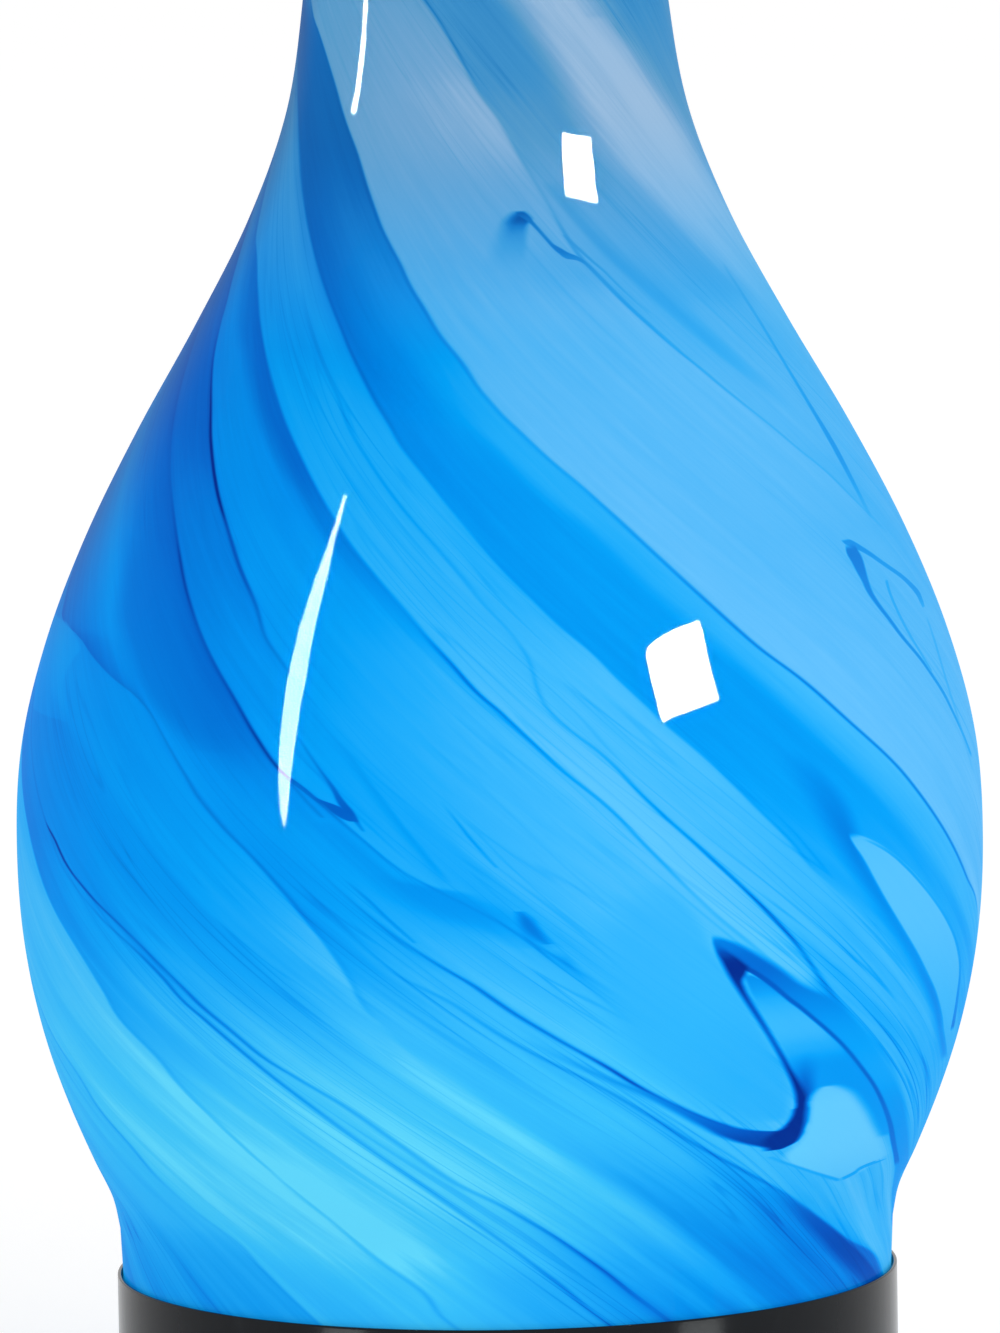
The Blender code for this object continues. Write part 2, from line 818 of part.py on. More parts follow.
def make_harp():
    """Saddle with its pins, wire harp, crimped stud and the two ferrules that lock the harp."""
    strap = flat_outline(
        "harp_saddle", [saddle_side()], saddle_centre_width + cut_overrun, brass,
        (0, 0, saddle_bottom), (math.pi / 2, 0, 0),
    )
    strap = as_mesh(strap)
    plan_height = 2 * (saddle_rise + saddle_thickness + cut_overrun)
    foot = (0, 0, saddle_bottom)
    plan = flat_outline("saddle_plan", [saddle_plan()], plan_height, None, foot, home=cutters)
    combine(strap, as_mesh(plan), "INTERSECT")
    hole_bottom = (0, 0, saddle_bottom - cut_overrun)
    hole_top = (0, 0, saddle_top + cut_overrun)
    combine(strap, rod_cutter("saddle_hole", 2 * rod_hole_radius, hole_bottom, hole_top), "DIFFERENCE")
    for side, label in ((-1, "left"), (1, "right")):
        x = side * saddle_half_width
        root = (x, 0, tab_top - saddle_thickness / 2)
        pin = rod_cutter("saddle_pin_" + label, saddle_pin_diameter, root, (x, 0, pin_top))
        combine(strap, pin, "UNION")
        make_ferrule("harp_ferrule_" + label, (x, 0, tab_top + fit_gap))

    points = harp_points()
    wire("harp_wire", points, harp_wire_diameter, brass, harp_resolution)
    collar_radius = stud_collar_diameter / 2
    stud_radius = stud_diameter / 2
    collar_bottom = harp_crest - harp_wire_diameter / 2 - fit_gap - stud_collar_skirt
    stud = turned(
        "harp_stud",
        [
            (0, stud_seat_level + stud_height),
            (stud_radius, stud_seat_level + stud_height),
            (stud_radius, stud_seat_level),
            (collar_radius, stud_seat_level),
            (collar_radius, collar_bottom),
            (0, collar_bottom),
        ],
        brass,
    )
    crest = [point for point in points if abs(point[0]) < 2 * stud_collar_diameter]
    groove = wire("stud_groove", crest, harp_wire_diameter + 2 * fit_gap, None, harp_resolution, home=cutters)
    combine(stud, as_mesh(groove), "DIFFERENCE")


def harp_points():
    """Middle line of the harp: straight legs, a gentle swell, then an arch over the top."""
    right = [(saddle_half_width, 0, harp_bottom)]
    swell_bottom = harp_bottom + harp_straight
    widest_level = harp_bottom + harp_widest_height
    arch = harp_crest - widest_level
    lower_spans = harp_spans // 4
    upper_spans = harp_spans // 2
    for i in range(lower_spans):
        share = i / lower_spans
        x = saddle_half_width + (harp_half_width - saddle_half_width) * (1 - math.cos(math.pi * share)) / 2
        right.append((x, 0, swell_bottom + (widest_level - swell_bottom) * share))
    for i in range(upper_spans):
        angle = math.pi / 2 * i / upper_spans
        x = harp_half_width * math.cos(angle) ** (2 / harp_squareness)
        right.append((x, 0, widest_level + arch * math.sin(angle) ** (2 / harp_squareness)))
    left = [(-x, y, z) for x, y, z in right]
    return right + [(0, 0, harp_crest)] + left[::-1]


def make_ferrule(name, foot):
    bore = harp_wire_diameter / 2 + fit_gap
    outer = bore + ferrule_wall
    profile = [
        (outer, ferrule_height),
        (outer, 2 * ferrule_wall),
        (outer + ferrule_foot_flare, 0),
        (bore, 0),
        (bore, ferrule_height),
    ]
    turned(name, profile, brass, small_steps, foot)


def make_socket():
    """Lamp socket: brass cap and shell, paper liner, insulator, screw shell and contact."""
    cap_inner = socket_cap_radius - socket_cap_wall
    corner = (socket_cap_radius - socket_cap_rounding, socket_shoulder + socket_cap_rounding)
    cap_floor = socket_shoulder + socket_cap_wall
    hub_radius = socket_cap_hub_diameter / 2
    cap_profile = [
        (socket_cap_radius, socket_cap_top),
        *corner_arc(corner, socket_cap_rounding, 0, -90),
        (hub_radius, socket_shoulder),
        (hub_radius, socket_bottom),
        (rod_hole_radius, socket_bottom),
        (rod_hole_radius, cap_floor),
        *corner_arc(corner, socket_cap_rounding - socket_cap_wall, -90, 0),
        (cap_inner, socket_cap_top),
    ]
    turned("socket_cap", cap_profile, brass, socket_steps)

    shell_radius = socket_shell_diameter / 2
    shell_profile = [
        (shell_radius + socket_shell_bead, shell_top),
        (shell_radius + socket_shell_bead, shell_top - 2 * socket_shell_bead),
        (shell_radius, shell_top - 3 * socket_shell_bead),
        (shell_radius, shell_bottom),
        (shell_inner_radius, shell_bottom),
        (shell_inner_radius, shell_top),
    ]
    shell = turned("socket_shell", shell_profile, brass, socket_steps)
    liner_bottom = shell_bottom + liner_setback
    liner_height = shell_top - liner_setback - liner_bottom
    liner_inner = liner_radius - liner_wall
    liner_size = (liner_radius, liner_inner, liner_bottom, liner_height)
    liner = ring("socket_liner", *liner_size, fibre_paper, socket_steps)

    stem_hole = contact_stem_diameter / 2 + fit_gap
    recess_radius = insulator_recess_diameter / 2
    recess_top = insulator_bottom + insulator_recess_depth
    insulator_profile = [
        (insulator_radius, insulator_top),
        (insulator_radius, insulator_bottom),
        (recess_radius, insulator_bottom),
        (recess_radius, recess_top),
        (stem_hole, recess_top),
        (stem_hole, insulator_top),
    ]
    insulator = turned("socket_insulator", insulator_profile, phenolic, socket_steps)

    hole_diameter = switch_shaft_diameter + 2 * switch_hole_clearance
    outside = (0, -shell_radius - cut_overrun, switch_level)
    inside = (0, -liner_inner + fit_gap, switch_level)
    blind_end = (0, -insulator_radius + switch_shaft_depth + fit_gap, switch_level)
    combine(shell, rod_cutter("shell_switch_hole", hole_diameter, inside, outside), "DIFFERENCE")
    combine(liner, rod_cutter("liner_switch_hole", hole_diameter, inside, outside), "DIFFERENCE")
    combine(insulator, rod_cutter("insulator_switch_hole", hole_diameter, blind_end, outside), "DIFFERENCE")

    screw_inner = bulb_base_diameter / 2 + bulb_base_clearance
    screw_outer = screw_inner + screw_shell_wall
    floor_bore = screw_shell_floor_bore / 2
    screw_profile = [
        (screw_outer, screw_shell_bottom + screw_shell_height),
        (screw_outer, screw_shell_bottom),
        (floor_bore, screw_shell_bottom),
        (floor_bore, screw_shell_bottom + screw_shell_wall),
        (screw_inner, screw_shell_bottom + screw_shell_wall),
        (screw_inner, screw_shell_bottom + screw_shell_height),
    ]
    turned("screw_shell", screw_profile, brass, socket_steps)

    head_radius = contact_head_diameter / 2
    stem_radius = contact_stem_diameter / 2
    contact_profile = [
        (0, screw_shell_bottom + contact_head_height),
        (head_radius, screw_shell_bottom + contact_head_height),
        (head_radius, screw_shell_bottom),
        (stem_radius, screw_shell_bottom),
        (stem_radius, recess_top),
        (0, recess_top),
    ]
    turned("center_contact", contact_profile, brass)


def make_switch():
    """Turn switch: a shaft through the socket's side with a fluted knob."""
    facing = (math.pi / 2, 0, 0)
    knob_start = socket_shell_diameter / 2 + switch_knob_standoff
    shaft_start = insulator_radius - switch_shaft_depth
    origin = (0, -knob_start, switch_level)
    shaft_radius = switch_shaft_diameter / 2
    inner_end = shaft_start - knob_start
    outer_end = inner_end + switch_shaft_length
    shaft_profile = [(0, outer_end), (shaft_radius, outer_end), (shaft_radius, inner_end), (0, inner_end)]
    turned("switch_shaft", shaft_profile, brass, small_steps, origin, facing)

    count = knob_flutes * knob_points_per_flute
    rim = []
    for i in range(count):
        angle = math.tau * i / count
        radius = switch_knob_diameter / 2 - switch_knob_flute_depth * (1 - math.cos(knob_flutes * angle)) / 2
        rim.append((radius * math.cos(angle), radius * math.sin(angle)))
    bore = circle(shaft_radius + fit_gap, small_steps)
    middle = (0, -knob_start - switch_knob_length / 2, switch_level)
    flat_outline("switch_knob", [rim, bore], switch_knob_length, phenolic, middle, facing)


def make_main_bulb():
    """Screw base and glass of the main bulb, on the lamp's axis."""
    base_radius = bulb_base_diameter / 2
    tip_radius = bulb_tip_diameter / 2
    inner = base_radius - bulb_base_wall
    floor = bulb_base_bottom + bulb_base_wall
    base_profile = [
        (0, floor),
        (inner, floor),
        (inner, bulb_base_top),
        (base_radius, bulb_base_top),
        (base_radius, bulb_base_bottom),
        (tip_radius, bulb_bottom + bulb_tip_height),
        (tip_radius, bulb_bottom),
        (0, bulb_bottom),
    ]
    turned("bulb_screw_base", base_profile, steel, socket_steps)
    blown_bulb(
        "bulb_globe", bulb_neck_diameter / 2, bulb_diameter / 2, globe_bottom,
        globe_top - globe_bottom, bulb_crown, bulb_wall, socket_steps, (0, 0, 0),
    )


def shade_radius(height):
    """Outer radius of the shade at a height."""
    share = (height - shade_bottom) / shade_height
    return (shade_bottom_diameter + (shade_top_diameter - shade_bottom_diameter) * share) / 2


def cone_shell(name, top, bottom, depth, wall, material):
    """A sleeve of the shade, whose outer face lies at a depth under the shade's own."""
    profile = [
        (shade_radius(top) - depth, top),
        (shade_radius(bottom) - depth, bottom),
        (shade_radius(bottom) - depth - wall, bottom),
        (shade_radius(top) - depth - wall, top),
    ]
    turned(name, profile, material, shade_steps)


def shade_ring_radius(height):
    """Radius of a wire ring's middle line inside the liner."""
    lining = shade_fabric_thickness + shade_liner_thickness + 2 * fit_gap
    return shade_radius(height) - lining - shade_ring_diameter / 2


def shade_ring(name, height):
    points = [(x, y, height) for x, y in circle(shade_ring_radius(height), shade_steps)]
    return wire(name, points, shade_ring_diameter, brass, ring_resolution, True)


def make_shade():
    """Drum shade: fabric over a stiff liner, a bottom ring, and the spider with the top ring."""
    cone_shell("shade_fabric", shade_top, shade_bottom, 0, shade_fabric_thickness, linen)
    liner_depth = shade_fabric_thickness + fit_gap
    liner_top = shade_top - shade_liner_setback
    liner_bottom = shade_bottom + shade_liner_setback
    cone_shell("shade_liner", liner_top, liner_bottom, liner_depth, shade_liner_thickness, styrene)

    low = shade_bottom + shade_ring_setback
    high = shade_top - shade_ring_setback
    shade_ring("shade_bottom_ring", low)
    spider = as_mesh(shade_ring("shade_spider", high))
    bore = stud_diameter / 2 + fit_gap
    washer_radius = spider_washer_diameter / 2
    washer_profile = [
        (washer_radius, spider_washer_top),
        (washer_radius, spider_washer_bottom),
        (bore, spider_washer_bottom),
        (bore, spider_washer_top),
    ]
    combine(spider, turned("spider_washer", washer_profile, None, home=cutters), "UNION")
    hub = washer_radius - spider_arm_overlap
    hub_level = spider_washer_top
    for i in range(shade_arm_count):
        angle = math.pi / 2 + math.tau * i / shade_arm_count
        reach = shade_ring_radius(high)
        start = (hub * math.cos(angle), hub * math.sin(angle), hub_level)
        end = (reach * math.cos(angle), reach * math.sin(angle), high)
        combine(spider, rod_cutter("spider_arm_" + str(i + 1), spider_arm_diameter, start, end), "UNION")


def make_finial():
    hole_radius = stud_diameter / 2 + fit_gap
    widest = finial_diameter / 2
    outline = [
        (widest * radius_share, finial_bottom + finial_height * height_share)
        for height_share, radius_share in reversed(finial_outline_shares)
    ]
    hole_top = finial_bottom + finial_hole_depth
    turned("finial", outline + [(hole_radius, finial_bottom), (hole_radius, hole_top), (0, hole_top)], brass)


make_base()
make_rod()
make_night_light()
make_glass()
make_neck()
make_harp()
make_socket()
make_switch()
make_main_bulb()
make_shade()
make_finial()
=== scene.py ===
"""Looks of the glass table lamp: finishes and finer pieces over the packed frame, its studio and camera."""
import json
import math
from collections import namedtuple

import bpy
from mathutils import Matrix, Vector

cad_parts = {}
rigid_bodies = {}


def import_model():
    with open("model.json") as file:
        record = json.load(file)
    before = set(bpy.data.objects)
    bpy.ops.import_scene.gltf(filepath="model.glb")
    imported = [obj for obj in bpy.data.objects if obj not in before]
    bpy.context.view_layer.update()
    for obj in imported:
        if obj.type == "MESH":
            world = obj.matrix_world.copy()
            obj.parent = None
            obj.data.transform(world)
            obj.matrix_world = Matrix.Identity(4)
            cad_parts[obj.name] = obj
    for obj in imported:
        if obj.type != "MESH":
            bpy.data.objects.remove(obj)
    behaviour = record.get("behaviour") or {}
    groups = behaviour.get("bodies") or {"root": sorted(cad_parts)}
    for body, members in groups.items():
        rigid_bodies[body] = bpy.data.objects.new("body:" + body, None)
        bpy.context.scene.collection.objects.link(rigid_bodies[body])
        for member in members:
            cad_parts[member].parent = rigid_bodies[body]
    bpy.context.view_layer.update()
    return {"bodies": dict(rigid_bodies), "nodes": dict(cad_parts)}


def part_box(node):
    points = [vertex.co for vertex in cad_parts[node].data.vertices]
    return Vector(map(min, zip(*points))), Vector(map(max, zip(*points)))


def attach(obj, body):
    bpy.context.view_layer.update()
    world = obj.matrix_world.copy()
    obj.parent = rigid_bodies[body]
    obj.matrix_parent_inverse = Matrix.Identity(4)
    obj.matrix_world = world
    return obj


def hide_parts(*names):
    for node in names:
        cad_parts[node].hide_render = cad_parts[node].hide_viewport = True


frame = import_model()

bl_info = {
    "name": "Glass table lamp",
    "version": (1, 0, 0),
    "blender": (4, 5, 0),
    "location": "3D View > Sidebar > Lamp",
    "description": "Builds the finishes and the fine pieces of a blown glass table lamp",
    "category": "Object",
}

mm = 0.001
small_gap = 0.0003
sharp_angle = math.radians(35)
nut_edge = 0.0003  # width of the broken edges of nuts, bracket and saddle
rod_hole = 0.0053  # radius of the hole in what sits on the threaded rod
cup_wall, cap_wall = 0.0008, 0.0010
brass_wire = 0.0016  # radius of the harp's and the rings' wire, and thickness of the spider's washer
harp_half, harp_widest = 0.0480, 0.0570
linen_wall, liner_wall, hem_wall, lap_wall = 0.0006, 0.0005, 0.0006, 0.0005
hem_stand, lap_stand = 0.0005, 0.0004  # how far the hems and the back seam stand over the linen
shade_top_radius = 0.140
ring_inset = 0.0035  # from an edge of the shade to its ring

# Levels read from the packed frame
cup_low, cup_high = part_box("base_cup")
glass_low, glass_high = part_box("glass_body")
neck_cap_low, neck_cap_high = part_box("neck_cap")
spacer_low, spacer_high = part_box("neck_spacer")
shell_low, shell_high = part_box("socket_shell")
socket_cap_low, socket_cap_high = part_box("socket_cap")
wire_low, wire_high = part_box("harp_wire")
stud_low, stud_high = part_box("harp_stud")
globe_low, globe_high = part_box("bulb_globe")
fabric_low, fabric_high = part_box("shade_fabric")
finial_low, finial_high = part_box("finial")
knob_low, knob_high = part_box("switch_knob")

collar_top = cup_high.z + 0.0090
belly_level = cup_high.z + 0.0820
belly_radius = 0.0925
collar_radius = 0.0743
neck_radius = 0.0332
foot_radius = 0.0739
glass_wall = 0.0040
lower_outline_shares = (
    (0.000, 0.000), (0.081, 0.068), (0.189, 0.264), (0.324, 0.491),
    (0.459, 0.682), (0.595, 0.827), (0.770, 0.947), (1.000, 1.000),
)
upper_outline_shares = (
    (0.110, 0.979), (0.220, 0.893), (0.330, 0.758), (0.440, 0.585), (0.550, 0.391),
    (0.660, 0.213), (0.770, 0.086), (0.880, 0.028), (1.000, 0.000),
)


def colour(name, about, value):
    """A colour setting."""
    return bpy.props.FloatVectorProperty(
        name=name, description=about, default=value, min=0, max=1, size=3, subtype="COLOR"
    )


def length(name, about, value):
    """A length setting, in metres."""
    return bpy.props.FloatProperty(
        name=name, description=about, default=value, min=0, unit="LENGTH", precision=5
    )


def share(name, about, value):
    """A setting from 0 to 1."""
    return bpy.props.FloatProperty(
        name=name, description=about, default=value, min=0, max=1, subtype="FACTOR"
    )


class LampGlassSettings(bpy.types.PropertyGroup):
    """Blown glass body."""

    # Painted shade: the colour towards which the upper glass is greyed on its left side
    painted_left_shade: colour("Left shade", "Greyish tint at the left of the neck", (0.055, 0.135, 0.33))
    streaks: share("Streaks", "Strength of the fine streaks along the swirl", 0.5)
    threads: share("Threads", "Depth of the many fine dark threads along the swirl", 0.09)
    # Painted glow: the glass gives off this share of its own colour, standing in for the night light shining
    # through it
    glow: share("Glow", "Share of the colour that the night light gives from inside", 0.30)
    gloss: share("Gloss", "Strength of the clear polished skin", 0.06)


class LampMetalSettings(bpy.types.PropertyGroup):
    """Metal and enamel."""

    enamel: colour("Enamel", "Stoved enamel of the cup and the neck cap", (0.0080, 0.0095, 0.0115))
    brass: colour("Brass", "Lacquered brass of the harp, socket and finial", (0.66, 0.47, 0.19))
    steel: colour("Steel", "Zinc plated rod, nuts and washers", (0.56, 0.57, 0.59))
    enamel_roughness: share("Enamel roughness", "How dull the enamel is", 0.16)


class LampShadeSettings(bpy.types.PropertyGroup):
    """Drum shade."""

    linen: colour("Linen", "Undyed linen of the shade", (0.80, 0.765, 0.69))
    hem: length("Hem", "Height of the folded hem at the top and the bottom", 0.0095)
    seam: length("Seam", "Width of the lapped seam at the back", 0.0110)
    thread: length("Thread", "Distance from one thread to the next", 0.00080)


class LampStudioSettings(bpy.types.PropertyGroup):
    """Floor, light and camera."""

    floor: colour("Floor", "Plain pale floor", (0.93, 0.93, 0.93))
    daylight: bpy.props.FloatProperty(
        name="Daylight", description="Strength of the even light", default=0.86, min=0
    )
    distance: length("Camera distance", "From the lamp's axis to the camera", 2.0)
    height: length("Camera height", "Of the camera over the floor", 0.3827)
    pitch: bpy.props.FloatProperty(
        name="Pitch", description="How far the camera looks down", default=math.radians(6.251),
        subtype="ANGLE"
    )
    roll: bpy.props.FloatProperty(
        name="Roll", description="Lean of the camera", default=math.radians(-1.0), subtype="ANGLE"
    )


# Finishes


def maths(operation, flipped=False):
    """A method of Value that adds a Math node. The value comes last in a flipped one."""

    def method(self, *others):
        values = (*others, self) if flipped else (self, *others)
        return self.finish.node("ShaderNodeMath", {"operation": operation}, dict(enumerate(values)))

    return method


class Value:
    """A node's output, on which arithmetic adds Math nodes."""

    def __init__(self, finish, socket):
        self.finish = finish
        self.socket = socket

    __add__ = __radd__ = maths("ADD")
    __mul__ = __rmul__ = maths("MULTIPLY")
    __sub__, __rsub__ = maths("SUBTRACT"), maths("SUBTRACT", flipped=True)
    __truediv__, __rtruediv__ = maths("DIVIDE"), maths("DIVIDE", flipped=True)
    __pow__, __rpow__ = maths("POWER"), maths("POWER", flipped=True)
    __abs__ = maths("ABSOLUTE")
    lower, higher = maths("MINIMUM"), maths("MAXIMUM")
    sine, cosine, arctan2 = maths("SINE"), maths("COSINE"), maths("ARCTAN2")
    fraction, wrap = maths("FRACT"), maths("WRAP")

    def __neg__(self):
        return self * -1

    def held(self):
        """The value kept between 0 and 1."""
        return self.higher(0).lower(1)

    def step(self, start, end):
        """0 before start and 1 after end, with a smooth change between them."""
        inputs = {"Value": self, "From Min": start, "From Max": end}
        settings = {"interpolation_type": "SMOOTHSTEP", "clamp": False}
        return self.finish.node("ShaderNodeMapRange", settings, inputs)

    def span(self, start, end, low, high):
        """The value's place from start to end, carried over to low to high."""
        inputs = {"Value": self, "From Min": start, "From Max": end, "To Min": low, "To Max": high}
        return self.finish.node("ShaderNodeMapRange", {"clamp": False}, inputs)


class Finish:
    """A material, or the world, being made. node() adds any node, and the rest are short words for it."""

    def __init__(self, name, store="materials", skin="Principled BSDF"):
        self.material = getattr(bpy.data, store).new(name)
        self.material.use_nodes = True
        self.tree = self.material.node_tree
        self.skin = self.tree.nodes[skin]

    def node(self, kind, settings, inputs, output=0):
        """Adds a node: its settings come first, then its sockets' values and links."""
        node = self.tree.nodes.new(kind)
        for key, value in settings.items():
            if key == "stops":
                set_stops(node.color_ramp, value)
            elif key == "points":
                set_points(node.mapping, value)
            else:
                setattr(node, key, value)
        self.fill(node, inputs)
        return Value(self, node.outputs[output])

    def fill(self, node, inputs):
        """Gives sockets their values, or links them."""
        for key, value in inputs.items():
            if isinstance(value, Value):
                self.tree.links.new(value.socket, node.inputs[key])
            else:
                node.inputs[key].default_value = value

    def place(self):
        """Position in the row frame, as a vector."""
        return self.node("ShaderNodeTexCoord", {}, {}, "Object")

    def parts(self, vector):
        """The x, y and z of a vector."""
        first = self.node("ShaderNodeSeparateXYZ", {}, {0: vector})
        return [Value(self, output) for output in first.socket.node.outputs]

    def vector(self, x, y, z):
        return self.node("ShaderNodeCombineXYZ", {}, {0: x, 1: y, 2: z})

    def stretch(self, vector, scale):
        return self.node("ShaderNodeVectorMath", {"operation": "MULTIPLY"}, {0: vector, 1: scale})

    def noise(self, vector, scale, detail=3.0, roughness=0.5, warp=0.0):
        inputs = {"Vector": vector, "Scale": scale, "Detail": detail}
        inputs |= {"Roughness": roughness, "Distortion": warp}
        return self.node("ShaderNodeTexNoise", {}, inputs, "Fac")

    def cells(self, vector, scale):
        """Distance to the nearest of many scattered points."""
        return self.node("ShaderNodeTexVoronoi", {}, {"Vector": vector, "Scale": scale}, "Distance")

    def curve(self, x, points):
        """A smooth curve through (x, y) points, all from 0 to 1."""
        return self.node("ShaderNodeFloatCurve", {"points": points}, {"Value": x})

    def ramp(self, x, stops):
        return self.node("ShaderNodeValToRGB", {"stops": stops}, {0: x})

    def blend(self, low, high, mask):
        """A colour between two others."""
        inputs = {0: mask, 6: with_alpha(low), 7: with_alpha(high)}
        return self.node("ShaderNodeMix", {"data_type": "RGBA"}, inputs, 2)

    def between(self, low, high, mask):
        """A value between two others."""
        return self.node("ShaderNodeMix", {}, {0: mask, 2: low, 3: high})

    def bump(self, height, strength, depth):
        inputs = {"Strength": strength, "Distance": depth, "Height": height}
        return self.node("ShaderNodeBump", {}, inputs)

    def ray(self, kind):
        """1 for rays of a kind, such as Is Camera Ray, and 0 for others."""
        return self.node("ShaderNodeLightPath", {}, {}, kind)

    def done(self, inputs):
        """Sets the shader's sockets and gives back the material."""
        self.fill(self.skin, inputs)
        return self.material


def with_alpha(value):
    return value if isinstance(value, Value) else (*value[:3], 1.0)


def set_stops(ramp, stops):
    while len(ramp.elements) < len(stops):
        ramp.elements.new(0.5)
    for element, (position, value) in zip(ramp.elements, stops):
        element.position = position
        element.color = (*value, 1.0)


def set_points(mapping, points):
    mapping.use_clip = False
    mapping.extend = "HORIZONTAL"
    curve = mapping.curves[0]
    while len(curve.points) < len(points):
        curve.points.new(0.5, 0.5)
    for point, place in zip(curve.points, points):
        point.location = place
        point.handle_type = "AUTO_CLAMPED"
    mapping.update()


def linear(*colour):
    """A colour as an eye sees it, from 0 to 255, as the light it sends back."""
    shares = (value / 255 for value in colour)
    return tuple(s / 12.92 if s <= 0.04045 else ((s + 0.055) / 1.055) ** 2.4 for s in shares)


def black_enamel():
    """Stoved gloss enamel with a faint orange peel and a little dust."""
    metal = bpy.context.scene.lamp_metal
    f = Finish("black_enamel")
    place = f.place()
    peel = f.noise(place, 900, 2.0)
    dust = f.noise(f.stretch(place, (1, 1, 0.35)), 60, 5.0, 0.62).step(0.52, 0.80)
    tint = f.blend(metal.enamel, tuple(c * 2.1 + 0.004 for c in metal.enamel), dust * 0.6)
    return f.done({
        "Base Color": tint,
        "Roughness": metal.enamel_roughness + dust * 0.10,
        "Specular IOR Level": 0.10,
        "Normal": f.bump(peel, 0.08, 0.00015),
    })


def brass():
    """Lacquered brass with turning lines and slight tarnish."""
    metal = bpy.context.scene.lamp_metal
    f = Finish("brass")
    place = f.place()
    tarnish = f.noise(place, 95, 4.0, 0.6).step(0.45, 0.75)
    grain = f.noise(f.stretch(place, (0.12, 0.12, 6.0)), 900, 2.0)
    tint = f.blend(metal.brass, tuple(c * s for c, s in zip(metal.brass, (0.70, 0.62, 0.55))), tarnish * 0.7)
    return f.done({
        "Base Color": tint,
        "Metallic": 1.0,
        "Roughness": 0.20 + tarnish * 0.16 + grain * 0.08,
        "Normal": f.bump(grain, 0.10, 0.0001),
    })


def zinc_steel(thread=0.0):
    """Zinc plating with a fine grain. A thread is cut in the rod."""
    metal = bpy.context.scene.lamp_metal
    f = Finish("threaded_steel" if thread else "zinc_steel")
    place = f.place()
    spangle = f.cells(place, 650)
    cloud = f.noise(place, 140, 3.0)
    height = f.noise(place, 1800, 2.0) * 0.2
    if thread:
        x, y, z = f.parts(place)
        turn = y.arctan2(x) / math.tau
        phase = (z / thread - turn).fraction()
        height = height + abs(phase - 0.5) * 2
    tint = f.blend(metal.steel, tuple(c * 0.72 for c in metal.steel), (spangle * 0.5 + cloud * 0.5).held())
    return f.done({
        "Base Color": tint,
        "Metallic": 1.0,
        "Roughness": 0.26 + cloud * 0.18,
        "Normal": f.bump(height, 0.6 if thread else 0.15, thread * 0.5 if thread else 0.00008),
    })


def cast_iron():
    """Rough sand casting under thin grey paint."""
    f = Finish("cast_iron")
    place = f.place()
    lumps = f.noise(place, 260, 6.0, 0.62)
    pits = f.cells(place, 420).step(0.0, 0.35)
    tint = f.blend((0.035, 0.035, 0.038), (0.12, 0.115, 0.11), lumps.step(0.35, 0.7))
    return f.done({
        "Base Color": tint,
        "Metallic": 0.55,
        "Roughness": 0.62 + lumps * 0.25,
        "Normal": f.bump(lumps + pits * 0.4, 0.5, 0.0006),
    })


def rubber():
    """Moulded rubber with a matt grain."""
    f = Finish("rubber")
    place = f.place()
    grain = f.noise(place, 2200, 2.0)
    bloom = f.noise(place, 160, 4.0).step(0.45, 0.8)
    return f.done({
        "Base Color": f.blend((0.014, 0.014, 0.015), (0.05, 0.05, 0.052), bloom),
        "Roughness": 0.62 + bloom * 0.2,
        "Normal": f.bump(grain, 0.25, 0.0001),
    })


def felt():
    """Pressed wool felt."""
    f = Finish("felt")
    place = f.place()
    hairs = f.noise(f.stretch(place, (1, 1, 2.5)), 1400, 6.0, 0.7, 1.6)
    clumps = f.noise(place, 240, 4.0, 0.6, 0.8)
    tint = f.blend((0.008, 0.013, 0.010), (0.045, 0.058, 0.048), (hairs * 0.7 + clumps * 0.3).step(0.35, 0.7))
    return f.done({
        "Base Color": tint,
        "Roughness": 0.95,
        "Sheen Weight": 0.25,
        "Normal": f.bump(hairs + clumps * 0.6, 0.8, 0.0008),
    })


def phenolic():
    """Dark moulded resin with faint flow marks."""
    f = Finish("phenolic")
    place = f.place()
    flow = f.noise(f.stretch(place, (1, 1, 0.4)), 130, 4.0, 0.55, 1.2)
    return f.done({
        "Base Color": f.blend((0.018, 0.011, 0.008), (0.055, 0.030, 0.018), flow.step(0.35, 0.75)),
        "Roughness": 0.24 + flow * 0.16,
        "Normal": f.bump(f.noise(place, 1500, 2.0), 0.08, 0.0001),
    })


def frosted_glass():
    """Lamp glass with a white inside coat."""
    f = Finish("bulb_glass")
    place = f.place()
    coat = f.noise(place, 75, 3.0)
    specks = f.noise(place, 1600, 2.0)
    return f.done({
        "Base Color": f.blend((0.86, 0.865, 0.86), (0.93, 0.93, 0.915), coat),
        "Roughness": 0.34 + specks * 0.10,
        "Coat Weight": 0.35,
        "Coat Roughness": 0.08,
        "Normal": f.bump(specks, 0.05, 0.0001),
    })


def fibre_paper():
    """Brown insulating paper."""
    f = Finish("fibre_paper")
    place = f.place()
    fibres = f.noise(f.stretch(place, (1, 1, 5)), 700, 5.0, 0.65, 1.0)
    return f.done({
        "Base Color": f.blend((0.22, 0.14, 0.075), (0.42, 0.30, 0.18), fibres.step(0.35, 0.7)),
        "Roughness": 0.86,
        "Normal": f.bump(fibres, 0.3, 0.0002),
    })


def styrene():
    """White film that backs the linen."""
    f = Finish("styrene")
    place = f.place()
    haze = f.noise(f.stretch(place, (1, 1, 0.3)), 40, 3.0)
    rolls = f.noise(f.stretch(place, (0.3, 0.3, 9.0)), 120, 2.0)
    return f.done({
        "Base Color": f.blend((0.84, 0.825, 0.79), (0.90, 0.89, 0.865), haze),
        "Roughness": 0.42 + haze * 0.16,
        "Normal": f.bump(rolls, 0.08, 0.0002),
    })


